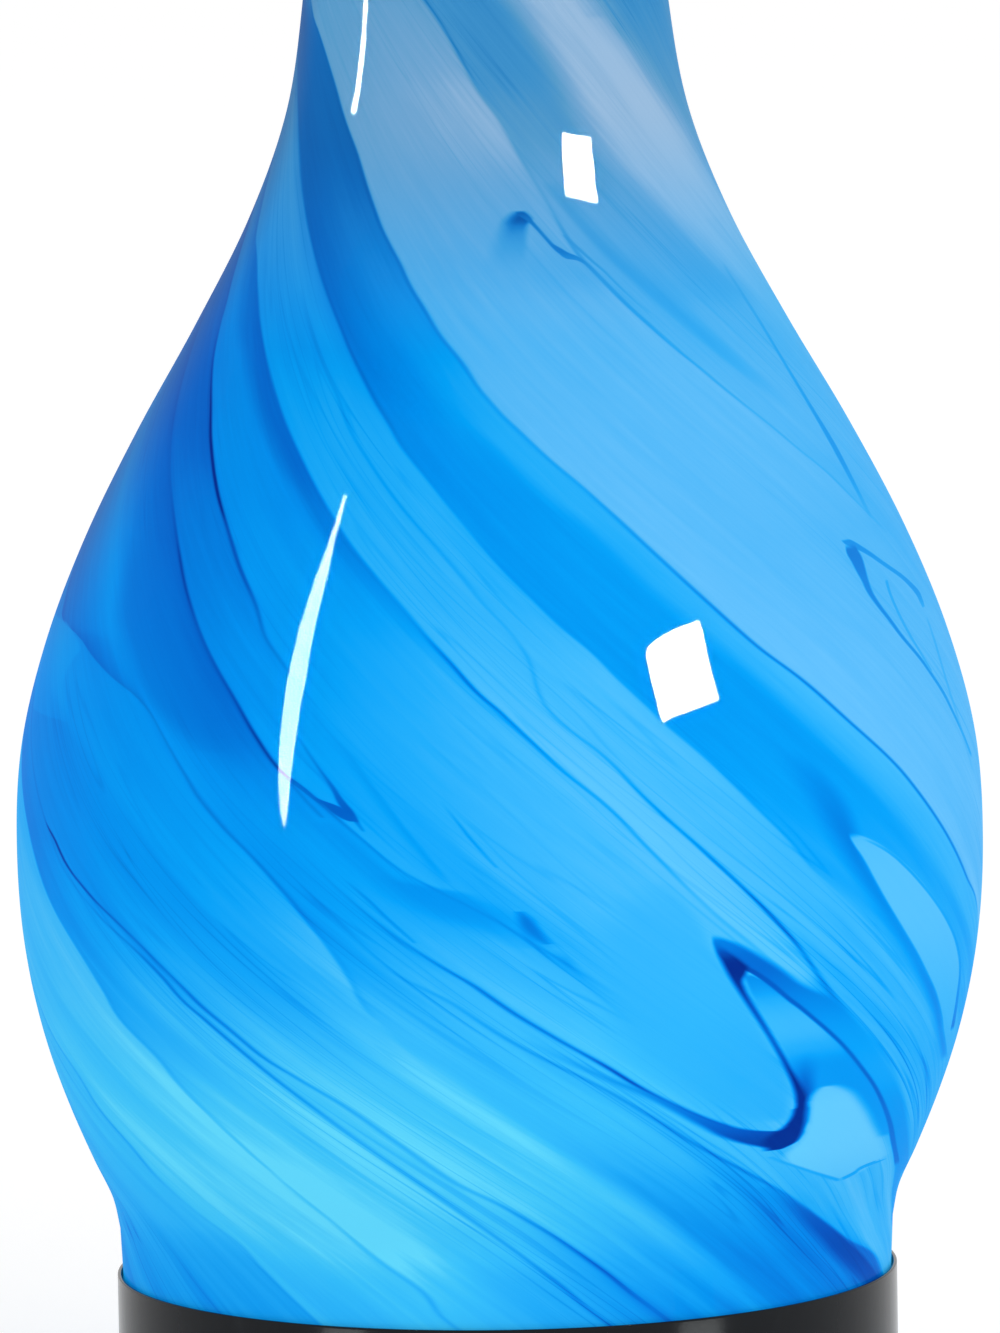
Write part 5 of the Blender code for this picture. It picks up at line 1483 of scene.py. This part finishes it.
def make_daylight(scene, studio):
    """Even light from all sides. The camera, gloss and clear glass see it as white."""
    f = Finish("daylight", "worlds", "Background")
    seen = f.ray("Is Camera Ray").higher(f.ray("Is Transmission Ray")).higher(f.ray("Is Glossy Ray"))
    f.done({"Color": (1, 1, 1, 1), "Strength": f.between(studio.daylight, 1.0, seen)})
    scene.world = f.material
    panel = bpy.data.lights.new("key_light", "AREA")
    panel.shape = "RECTANGLE"
    panel.size, panel.size_y = 1.6, 1.2
    panel.energy = 14
    key = bpy.data.objects.new("key_light", panel)
    key.location = (1.2, -1.9, 2.2)
    key.rotation_euler = (Vector((0, 0, 0.25)) - key.location).to_track_quat("-Z", "Y").to_euler()
    key.visible_glossy = False
    key.visible_camera = False
    scene.collection.objects.link(key)


def make_floor(studio):
    """A plain pale floor, which reads as white and keeps the lamp's shadow."""
    f = Finish("studio_floor")
    grain = f.noise(f.place(), 6.0, 2.0)
    f.done({
        "Base Color": f.blend(studio.floor, tuple(c * 0.995 for c in studio.floor), grain),
        "Roughness": 0.9,
        "Specular IOR Level": 0.0,
        "Emission Color": f.blend((0.8, 0.8, 0.8), (1, 1, 1), f.ray("Is Camera Ray")),
        "Emission Strength": 0.20,
    })
    reach = 60
    floor = add_mesh(
        "studio_floor", [(-reach, -reach, 0), (reach, -reach, 0), (reach, reach, 0), (-reach, reach, 0)],
        [(0, 1, 2, 3)], f.material,
    )


box_steps = 5  # faces of a soft box across it, and from one of its rows to the next
# Soft boxes: the left and the right end of rows where the piece mirrors each, in the photograph's pixels,
# then its distance from the piece, its colour and strength, and the collection of pieces that mirror it
soft_boxes = (
    (
        "soft_box_neck",
        (
            (562, 132, 591, 138), (562.5, 150, 592.5, 154), (563, 165, 594, 170), (564, 181, 596, 187),
            (565, 196, 598, 204),
        ), 0.03, (1, 1, 1, 1), 1000, "glossy_pieces",
    ),
    (
        "soft_box_belly",
        (
            (697, 620, 700, 620), (672, 630, 703, 632), (655, 640, 705, 642), (647.5, 648, 707, 650),
            (646, 656, 709, 660), (650, 675, 713, 676), (655, 697, 719, 700), (658, 708, 699, 708),
            (661, 718, 672, 718), (662, 722, 664, 722),
        ), 0.06, (1, 1, 1, 1), 1000, "glossy_pieces",
    ),
    (
        "soft_box_strip",
        (
            (344, 496, 347.5, 496), (336, 520, 340.8, 520), (327.5, 545, 334, 545), (317, 572, 329, 572),
            (308, 601, 321, 601), (298.5, 630, 314.5, 630), (291.5, 660, 309, 660), (286, 690, 303.5, 690),
            (281.5, 720, 298.5, 720), (279, 750, 294.5, 750), (278, 780, 290.5, 780), (279, 803, 288.5, 803),
            (283, 825, 285, 825),
        ), 0.03, (0.62, 1, 1, 1), 520, "glossy_pieces",
    ),
    (
        "soft_box_edge",
        (
            (364.5, -10, 367.5, -10), (362.5, 25, 366.5, 25), (360.5, 50, 365, 50), (357.5, 75, 362.5, 75),
            (354.5, 95, 359.5, 95), (351, 113, 356, 113),
        ), 0.015, (0.85, 1, 1, 1), 1500, "glossy_pieces",
    ),
    (
        "soft_box_cup_left", ((326, 1285, 366, 1285), (326, 1400, 366, 1400)),
        0.10, (0.95, 1, 1, 1), 11, "enamelled_pieces",
    ),
    (
        "soft_box_cup_right", ((678, 1285, 718, 1285), (678, 1400, 718, 1400)),
        0.10, (0.95, 1, 1, 1), 11, "enamelled_pieces",
    ),
)


def make_soft_box(name, rows, reach, tint, strength, lit):
    """A glowing sheet that only the pieces of one collection mirror."""
    fine = []
    for above, below in zip(rows, rows[1:]):
        fine += [[a + (b - a) * i / box_steps for a, b in zip(above, below)] for i in range(box_steps)]
    fine.append(rows[-1])
    points = []
    for left_x, left_y, right_x, right_y in fine:
        for i in range(box_steps + 1):
            across = i / box_steps
            px, py = left_x + (right_x - left_x) * across, left_y + (right_y - left_y) * across
            points.append(mirrored(px, py, reach))
    f = Finish(name)
    f.done({"Base Color": (0, 0, 0, 1), "Emission Color": tint, "Emission Strength": strength})
    row = box_steps + 1
    corners = [i * row + j for i in range(len(fine) - 1) for j in range(box_steps)]
    faces = [(i, i + 1, i + 1 + row, i + row) for i in corners]
    box = add_mesh(name, points, faces, f.material)
    box.visible_camera = False
    box.visible_diffuse = False
    box.visible_shadow = False
    box.visible_transmission = False
    box.light_linking.receiver_collection = lit_pieces(lit)


def lit_pieces(name):
    """Collection of the pieces that mirror some of the soft boxes."""
    return bpy.data.collections.get(name) or bpy.data.collections.new(name)


def mirrored(px, py, reach):
    """Point that the glass mirrors towards the camera at a pixel of the photograph."""
    eye, ray = photo_ray(px, py)
    here = on_glass(px, py)
    radius = math.hypot(here.x, here.y)
    lean = (glass_radius(here.z + 0.0001) - glass_radius(here.z - 0.0001)) / 0.0002
    normal = Vector((here.x / radius, here.y / radius, -lean)).normalized()
    return here + (ray - normal * (2 * ray.dot(normal))) * reach


class LAMP_OT_glass(LampOperator):
    """Make the blown glass body"""

    bl_idname = "lamp.glass"
    bl_label = "Glass body"

    def make(self, scene):
        rings = 170
        outline = [
            (glass_radius(z), z)
            for z in (glass_high.z + (collar_top - glass_high.z) * i / rings for i in range(rings + 1))
        ]
        lower = [(foot_radius, cup_high.z), (foot_radius, glass_low.z)]
        inner = [(radius - glass_wall, z) for radius, z in outline[::3]]
        inner[0] = (outline[0][0] - glass_wall, glass_high.z)
        low_inner = [(radius - glass_wall, z) for radius, z in lower]
        material = blue_glass()
        closed = outline + lower + (inner + low_inner)[::-1]
        body = turned("blown_glass", closed, material, steps=288)
        settle(body, "lamp_body", "blue_glass", "glass_body")
        lit_pieces("glossy_pieces").objects.link(body)


class LAMP_OT_base(LampOperator):
    """Make the felt pad, the spun cup and the cord gland, and finish the weight and the gaskets"""

    bl_idname = "lamp.base"
    bl_label = "Base"

    def make(self, scene):
        felt_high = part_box("felt_pad")[1]
        edge = felt_high.x
        pad_outline = [
            (0, felt_high.z), (edge - 0.0002, felt_high.z), (edge, felt_high.z - 0.0004),
            (edge - 0.0001, 0.0004), (edge - 0.0005, 0), (0, 0),
        ]
        pad = turned("felt_disc", pad_outline, felt(), steps=144, closed=False)
        settle(pad, "lamp_body", "felt", "felt_pad")

        enamel = black_enamel()
        outer, inner = cup_high.x, cup_high.x - cup_wall
        floor = cup_low.z + cup_wall
        dimple_edge, dimple_flat, dimple = 0.0190, 0.0170, 0.0113
        outline = [
            (outer, cup_high.z), (outer, cup_low.z), (dimple_edge, cup_low.z), (dimple_flat, dimple),
            (rod_hole, dimple), (rod_hole, dimple + cup_wall), (dimple_flat + cup_wall, dimple + cup_wall),
            (dimple_edge + cup_wall, floor), (inner, floor), (inner, cup_high.z),
        ]
        radii = [0.00039, 0.0030, 0.0008, 0.0008, 0, 0, 0.0008, 0.0008, 0.0022, 0.00039]
        cup = turned("spun_cup", rounded(outline, radii, 8), enamel, steps=256)
        gland_low, gland_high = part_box("cord_gland")
        gland_axis = (gland_low.z + gland_high.z) / 2
        drill_radius = 0.0049
        tool = swept("cup_drill", [(0, 0.070, 0), (0, 0.080, 0)], drill_radius, enamel, 48)
        # Half a side's turn keeps the drill's corners off the cup's own column of corners.
        tool.data.transform(Matrix.Translation((0, 0, gland_axis)) @ Matrix.Rotation(math.pi / 48, 4, "Y"))
        cut(cup, tool)
        settle(cup, "lamp_body", "black_enamel", "base_cup")
        lit_pieces("enamelled_pieces").objects.link(cup)

        dress(cast_iron(), "base_weight")
        seal = rubber()
        dress(seal, "seat_gasket", "neck_gasket")
        bore, barrel, flange = 0.0033, 0.0046, 0.0070
        front, back = 0.0022, -0.0150
        gland_outline = [
            (bore, front), (flange, front), (flange, 0), (barrel, 0), (barrel, back), (bore, back),
        ]
        radii = [0.0006, 0.0008, 0.0003, 0.0002, 0.0004, 0.0004]
        gland = turned("gland_bushing", rounded(gland_outline, radii, 5), seal, steps=64)
        turn = Matrix.Translation((0, outer + small_gap, gland_axis)) @ Matrix.Rotation(-math.pi / 2, 4, "X")
        gland.data.transform(turn)
        settle(gland, "lamp_body", "rubber", "cord_gland")


class LAMP_OT_stem(LampOperator):
    """Finish the threaded rod with its nuts and washers, and make the cap and spacer on the neck"""

    bl_idname = "lamp.stem"
    bl_label = "Stem"

    def make(self, scene):
        dress(zinc_steel(thread=0.0010), "center_rod")
        plain = zinc_steel()
        dress(plain, "rod_lower_nut", "rod_lower_washer", "rod_upper_washer", "rod_upper_nut")
        soften(nut_edge, "rod_lower_nut", "rod_upper_nut")
        outer = neck_cap_high.x
        top, shoulder = neck_cap_high.z, 0.3151
        inner, ceiling, flat = outer - cap_wall, top - cap_wall, 0.0100
        outline = [
            (rod_hole, top), (flat, top), (outer, shoulder), (outer, neck_cap_low.z), (inner, neck_cap_low.z),
            (inner, shoulder - cap_wall), (flat, ceiling), (rod_hole, ceiling),
        ]
        radii = [0.0003, 0.0016, 0.0022, 0.00045, 0.00045, 0.0014, 0.001, 0]
        enamel = bpy.data.materials["black_enamel"]
        cap = turned("spun_neck_cap", rounded(outline, radii, 7), enamel, steps=192)
        settle(cap, "lamp_body", "black_enamel", "neck_cap")
        metal = brass()
        low, high = spacer_low.z, spacer_high.z
        end_radius, swell_depth, groove_depth, groove_width = 0.0080, 0.0025, 0.0004, 0.03
        turned_edge = []
        for i in range(41):
            t = i / 40
            swell = swell_depth * math.sin(math.pi * t) ** 2
            groove = groove_depth * sum(math.exp(-(((t - at) / groove_width) ** 2)) for at in (0.20, 0.80))
            turned_edge.append((end_radius + swell - groove, high + (low - high) * t))
        spacer = turned("turned_spacer", turned_edge + [(rod_hole, low), (rod_hole, high)], metal, steps=96)
        settle(spacer, "lamp_body", "brass", "neck_spacer")


class LAMP_OT_night_light(LampOperator):
    """Finish the small lamp inside the glass"""

    bl_idname = "lamp.night_light"
    bl_label = "Night light"

    def make(self, scene):
        dress(bpy.data.materials["zinc_steel"], "night_light_bracket")
        soften(nut_edge, "night_light_bracket")
        dress(phenolic(), "night_light_socket")
        dress(bpy.data.materials["brass"], "night_light_cap")
        low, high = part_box("night_light_bulb")
        middle = (low.x + high.x) / 2
        widest, foot = (high.x - low.x) / 2, (middle, 0, 0)
        outline = bulb_outline(0.0060, widest, low.z, high.z, crown=0.0170, wall=0.0008)
        bulb = turned("night_light_glass", outline, frosted_glass(), steps=64, foot=foot, closed=False)
        settle(bulb, "night_bulb", "bulb_glass", "night_light_bulb")


def bulb_outline(neck, widest, low, high, crown, wall):
    """Outline of a blown bulb that is open at its neck, with its inner face."""
    level = high - crown
    shoulder = ((0.00, 0.00), (0.16, 0.05), (0.42, 0.40), (0.72, 0.86), (1.00, 1.00))
    outline = [(0, high)]
    for i in range(1, 25):
        angle = math.pi / 2 * (1 - i / 24)
        outline.append((widest * math.cos(angle), level + crown * math.sin(angle)))
    for i in range(1, 31):
        t = 1 - i / 30
        outline.append((neck + (widest - neck) * smooth_value(shoulder, t), low + (level - low) * t))
    inner = [(max(radius - wall, 0), min(z, high - wall)) for radius, z in outline[::2]]
    inner[-1] = (neck - wall, low)
    inner[0] = (0, high - wall)
    return outline + inner[::-1]


class LAMP_OT_harp(LampOperator):
    """Make the harp with its ferrules and stud, and finish its saddle"""

    bl_idname = "lamp.harp"
    bl_label = "Harp"

    def make(self, scene):
        metal = bpy.data.materials["brass"]
        dress(metal, "harp_saddle")
        soften(nut_edge, "harp_saddle")
        for side, label in ((-1, "left"), (1, "right")):
            low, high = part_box("harp_ferrule_" + label)
            foot, top, radius, bore = low.z, high.z, 0.0027, 0.0019
            outline = [
                (radius, top), (radius, foot + 0.0052), (radius - 0.0003, foot + 0.0047),
                (radius, foot + 0.0042), (radius, foot + 0.0018), (radius + 0.0006, foot), (bore, foot),
                (bore, top),
            ]
            radii = [0.0003, 0.0002, 0.0002, 0.0002, 0.0008, 0.0003, 0.0002, 0.0002]
            outline, axis = rounded(outline, radii, 4), (side * harp_half, 0, 0)
            sleeve = turned("ferrule_sleeve_" + label, outline, metal, steps=48, foot=axis)
            settle(sleeve, "ferrule_" + label, "brass", "harp_ferrule_" + label)
        settle(swept("harp_bow", harp_line(96), brass_wire, metal, 24), "lamp_body", "brass", "harp_wire")
        seat, top = hub_level() - small_gap, stud_high.z
        foot, pin, collar = stud_low.z, 0.0031, 0.0065
        outline = [(0, top), (pin, top), (pin, seat), (collar, seat), (collar, foot), (0, foot)]
        radii = [0, 0.0006, 0.0002, 0.0009, 0.0012, 0]
        outline = rounded(outline, radii, 5, closed=False)
        stud = turned("harp_crimped_stud", outline, metal, steps=64, closed=False)
        settle(stud, "lamp_body", "brass", "harp_stud")


def hub_level():
    """Level of the washer on which the shade sits."""
    return finial_low.z - brass_wire - small_gap


def harp_line(spans):
    """Middle line of the harp: straight legs, a gentle swell and an arch over the top."""
    bottom, crest = wire_low.z, wire_high.z - brass_wire
    straight, widest_height, squareness = 0.0260, 0.1080, 2.3
    right = [(harp_half, 0, bottom)]
    start, level = bottom + straight, bottom + widest_height
    for i in range(spans // 2):
        t = i / (spans // 2)
        x = harp_half + (harp_widest - harp_half) * (1 - math.cos(math.pi * t)) / 2
        right.append((x, 0, start + (level - start) * t))
    for i in range(spans):
        angle = math.pi / 2 * i / spans
        x = harp_widest * math.cos(angle) ** (2 / squareness)
        right.append((x, 0, level + (crest - level) * math.sin(angle) ** (2 / squareness)))
    return right + [(0, 0, crest)] + [(-x, y, z) for x, y, z in right[::-1]]


class LAMP_OT_socket(LampOperator):
    """Make the lamp socket and its turn switch"""

    bl_idname = "lamp.socket"
    bl_label = "Socket and switch"

    def make(self, scene):
        metal = bpy.data.materials["brass"]
        dress(fibre_paper(), "socket_liner")
        dress(bpy.data.materials["phenolic"], "socket_insulator")
        dress(metal, "screw_shell", "center_contact")
        cap = socket_cap_outline()
        settle(turned("spun_socket_cap", cap, metal, steps=128), "lamp_body", "brass", "socket_cap")
        shell = turned("spun_socket_shell", socket_shell_outline(), metal, steps=128)
        axis = (knob_low.z + knob_high.z) / 2
        inside, outside, hole = -0.0140, -0.0185, 0.0022
        tool = swept("shell_drill", [(0, inside, axis), (0, outside, axis)], hole, metal, 32)
        cut(shell, tool)
        settle(shell, "lamp_body", "brass", "socket_shell")

        shaft_low, shaft_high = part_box("switch_shaft")
        radius, back = 0.0018, shaft_low.y - shaft_high.y
        outline = [(0, 0), (radius, 0), (radius, back), (0, back)]
        outline = rounded(outline, [0, 0.0003, 0.0003, 0], 3, closed=False)
        shaft = turned("turned_switch_shaft", outline, metal, steps=32, closed=False)
        face = Matrix.Rotation(math.pi / 2, 4, "X")
        shaft.data.transform(Matrix.Translation((0, shaft_low.y, axis)) @ face)
        settle(shaft, "switch", "brass", "switch_shaft")
        knob = fluted_knob("fluted_switch_knob", knob_high.y - knob_low.y, bpy.data.materials["phenolic"])
        knob.data.transform(Matrix.Translation((0, knob_high.y, axis)) @ face)
        settle(knob, "switch", "phenolic", "switch_knob")


def socket_cap_outline():
    """Outline of the cap: a hub, a rounded shoulder and a rim that holds the shell."""
    wall, outer, hub = 0.0008, socket_cap_high.x, 0.0090
    foot, top = socket_cap_low.z, socket_cap_high.z
    shoulder = foot + 0.0065
    outline = [
        (outer, top), (outer, shoulder), (hub, shoulder), (hub, foot), (rod_hole, foot),
        (rod_hole, shoulder + wall), (outer - wall, shoulder + wall), (outer - wall, top),
    ]
    return rounded(outline, [0.0003, 0.0052, 0.0012, 0.0006, 0.0002, 0.0004, 0.0040, 0.0003], 8)


def socket_shell_outline():
    """Outline of the shell, with two rolled beads and a turned rim."""
    wall, radius, rim = 0.0006, 0.0165, 0.0007
    bead_height, bead_width = 0.0005, 0.0008
    foot, top = shell_low.z, shell_high.z
    outer = [(radius + rim, top), (radius + rim, top - 0.0014)]
    rows = 60
    start, end = top - 0.0021, foot
    for i in range(rows + 1):
        z = start + (end - start) * i / rows
        nearness = (math.exp(-(((z - level) / bead_width) ** 2)) for level in (top - 0.0100, top - 0.0130))
        bead = bead_height * sum(nearness)
        outer.append((radius + bead, z))
    return outer + [(radius - wall, foot), (radius - wall, top)]


def fluted_knob(name, depth, material):
    """A knob with rounded flutes and a domed face, along +Z from its back."""
    flutes, per_flute, flute_depth = 12, 10, 0.0005
    sides = flutes * per_flute
    # Radii are shares of the rim's, but for the first and the last, which are at the shaft's hole.
    section = [
        (0.0021, 0.0), (0.86, 0.0), (0.97, 0.0004), (1.0, 0.0012), (1.0, depth - 0.0018),
        (0.96, depth - 0.0009), (0.86, depth - 0.0003), (0.55, depth), (0.0020, depth),
    ]
    points, faces = [], []
    for row, (radial, z) in enumerate(section):
        for i in range(sides):
            angle = math.tau * i / sides
            rim = knob_high.x - flute_depth * (1 - math.cos(flutes * angle)) / 2
            radius = radial if row in (0, len(section) - 1) else rim * radial
            points.append((radius * math.cos(angle), radius * math.sin(angle), z))
    for row in range(len(section) - 1):
        for i in range(sides):
            j = (i + 1) % sides
            a, b = row * sides, (row + 1) * sides
            faces.append((a + i, a + j, b + j, b + i))
    last = (len(section) - 1) * sides
    for i in range(sides):
        j = (i + 1) % sides
        faces.append((last + i, last + j, j, i))
    return add_mesh(name, points, faces, material)


class LAMP_OT_bulb(LampOperator):
    """Make the main bulb's glass and finish its screw base"""

    bl_idname = "lamp.bulb"
    bl_label = "Main bulb"

    def make(self, scene):
        dress(zinc_steel(thread=0.0036), "bulb_screw_base")
        low, high = globe_low.z, globe_high.z
        outline = bulb_outline(0.0125, globe_high.x, low, high, crown=0.0300, wall=0.0010)
        globe = turned("blown_bulb_glass", outline, bpy.data.materials["bulb_glass"], steps=128, closed=False)
        settle(globe, "main_bulb", "bulb_glass", "bulb_globe")


class LAMP_OT_shade(LampOperator):
    """Make the drum shade: linen over its liner, hems, back seam, rings and spider"""

    bl_idname = "lamp.shade"
    bl_label = "Shade"

    def make(self, scene):
        shade = scene.lamp_shade
        low, high = fabric_low.z, fabric_high.z
        cloth = linen()
        edge, skin = 0.0004, 0.0001
        wall = linen_wall - skin
        drum = band("linen_drum", low + edge, high - edge, skin, wall, cloth, steps=384, rise=24)
        settle(drum, "shade", "linen", "shade_fabric")
        trim = linen("linen_hem")
        top_hem = band("hem_top", high - shade.hem, high, -hem_stand, hem_wall, trim, steps=384, rise=4)
        low_hem = band("hem_bottom", low, low + shade.hem, -hem_stand, hem_wall, trim, steps=384, rise=4)
        half = shade.seam / 2 / fabric_high.x
        lap = band(
            "back_seam", low + shade.hem + skin, high - shade.hem - skin, -lap_stand, lap_wall, cloth,
            math.pi - half, math.pi + half, 12, 24,
        )
        for piece in (top_hem, low_hem, lap):
            piece.modifiers.new("edges", "BEVEL").width = 0.0002
            settle(piece, "shade", "linen")

        liner_low, liner_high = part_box("shade_liner")
        inset = linen_wall + small_gap
        low_end, high_end = liner_low.z, liner_high.z
        film = band("styrene_liner", low_end, high_end, inset, liner_wall, styrene(), rise=6)
        settle(film, "shade", "styrene", "shade_liner")
        metal = bpy.data.materials["brass"]
        settle(wire_ring("ring_bottom", low + ring_inset, metal), "shade", "brass", "shade_bottom_ring")
        settle(shade_spider(high - ring_inset, metal), "shade", "brass", "shade_spider")


def ring_radius(height):
    """Radius of a shade ring's middle line at a height."""
    return shade_radius(height) - linen_wall - liner_wall - 2 * small_gap - brass_wire


def wire_ring(name, height, metal):
    """A closed ring of wire in the shade."""
    radius, count = ring_radius(height), 192
    angles = [math.tau * i / count for i in range(count)]
    line = [(radius * math.cos(angle), radius * math.sin(angle), height) for angle in angles]
    return swept(name, line, brass_wire, metal, 16, closed=True)


def shade_spider(level, metal):
    """The washer, its three arms and the top ring, joined in one piece."""
    hub_low = hub_level()
    hub_top = hub_low + brass_wire
    rim, hole, arm_start, arm_radius = 0.0120, 0.0034, 0.0090, 0.0015
    washer = rounded([(rim, hub_top), (rim, hub_low), (hole, hub_low), (hole, hub_top)], 0.0003, 3)
    parts = [turned("spider_washer", washer, metal, steps=96), wire_ring("spider_ring", level, metal)]
    reach = ring_radius(level)
    for i in range(3):
        angle = math.pi / 2 + math.tau * i / 3
        line = []
        for j in range(25):
            t = j / 24
            out = arm_start + (reach - arm_start) * t
            rise = hub_top + (level - hub_top) * (t * t * (3 - 2 * t) * 0.35 + t * 0.65)
            line.append((out * math.cos(angle), out * math.sin(angle), rise))
        parts.append(swept("spider_arm_" + str(i + 1), line, arm_radius, metal, 16))
    return joined("wire_spider", parts)


def joined(name, parts):
    """One piece from several of one finish."""
    points, faces = [], []
    for part in parts:
        start = len(points)
        points += [v.co.copy() for v in part.data.vertices]
        faces += [tuple(start + i for i in face.vertices) for face in part.data.polygons]
    material = parts[0].data.materials[0]
    for part in parts:
        bpy.data.objects.remove(part)
    return add_mesh(name, points, faces, material)


class LAMP_OT_finial(LampOperator):
    """Make the finial"""

    bl_idname = "lamp.finial"
    bl_label = "Finial"

    def make(self, scene):
        bore_radius, bore_depth = 0.0034, 0.0130
        shares = (
            (0.000, 0.722), (0.080, 0.722), (0.140, 0.500), (0.220, 0.480), (0.300, 0.720), (0.420, 0.950),
            (0.560, 1.000), (0.720, 0.880), (0.850, 0.640), (0.950, 0.340), (1.000, 0.000),
        )
        low, high, widest = finial_low.z, finial_high.z, finial_high.x
        outline = []
        for i in range(61):
            t = 1 - i / 60
            outline.append((max(0, widest * smooth_value(shares, t)), low + (high - low) * t))
        outline += [(bore_radius, low), (bore_radius, low + bore_depth), (0, low + bore_depth)]
        knob = turned("turned_finial", outline, bpy.data.materials["brass"], steps=96, closed=False)
        settle(knob, "finial", "brass", "finial")


class LAMP_PT_panel(bpy.types.Panel):
    """Lists the lamp's operators and settings"""

    bl_label = "Glass table lamp"
    bl_idname = "LAMP_PT_panel"
    bl_space_type = "VIEW_3D"
    bl_region_type = "UI"
    bl_category = "Lamp"

    def draw(self, context):
        for operator in operators:
            self.layout.operator(operator.bl_idname)
        for name, group in settings:
            box = self.layout.box()
            box.label(text=group.__doc__)
            for item in group.__annotations__:
                box.prop(getattr(context.scene, name), item)


operators = (
    LAMP_OT_stage, LAMP_OT_glass, LAMP_OT_base, LAMP_OT_stem, LAMP_OT_night_light, LAMP_OT_harp,
    LAMP_OT_socket, LAMP_OT_bulb, LAMP_OT_shade, LAMP_OT_finial,
)
settings = (
    ("lamp_glass", LampGlassSettings), ("lamp_metal", LampMetalSettings), ("lamp_shade", LampShadeSettings),
    ("lamp_studio", LampStudioSettings),
)


def register():
    for name, group in settings:
        bpy.utils.register_class(group)
        setattr(bpy.types.Scene, name, bpy.props.PointerProperty(type=group))
    for operator in operators:
        bpy.utils.register_class(operator)
    bpy.utils.register_class(LAMP_PT_panel)


def unregister():
    bpy.utils.unregister_class(LAMP_PT_panel)
    for operator in reversed(operators):
        bpy.utils.unregister_class(operator)
    for name, group in reversed(settings):
        delattr(bpy.types.Scene, name)
        bpy.utils.unregister_class(group)


def clear_start_up():
    """Removes what Blender starts with, and leaves the frame."""
    kept = set(frame["nodes"].values()) | set(frame["bodies"].values())
    for thing in list(bpy.data.objects):
        if thing not in kept:
            bpy.data.objects.remove(thing, do_unlink=True)


def main():
    register()
    clear_start_up()
    bpy.ops.lamp.stage()
    bpy.ops.lamp.glass()
    bpy.ops.lamp.base()
    bpy.ops.lamp.stem()
    bpy.ops.lamp.night_light()
    bpy.ops.lamp.harp()
    bpy.ops.lamp.socket()
    bpy.ops.lamp.bulb()
    bpy.ops.lamp.shade()
    bpy.ops.lamp.finial()


if __name__ == "__main__":
    main()
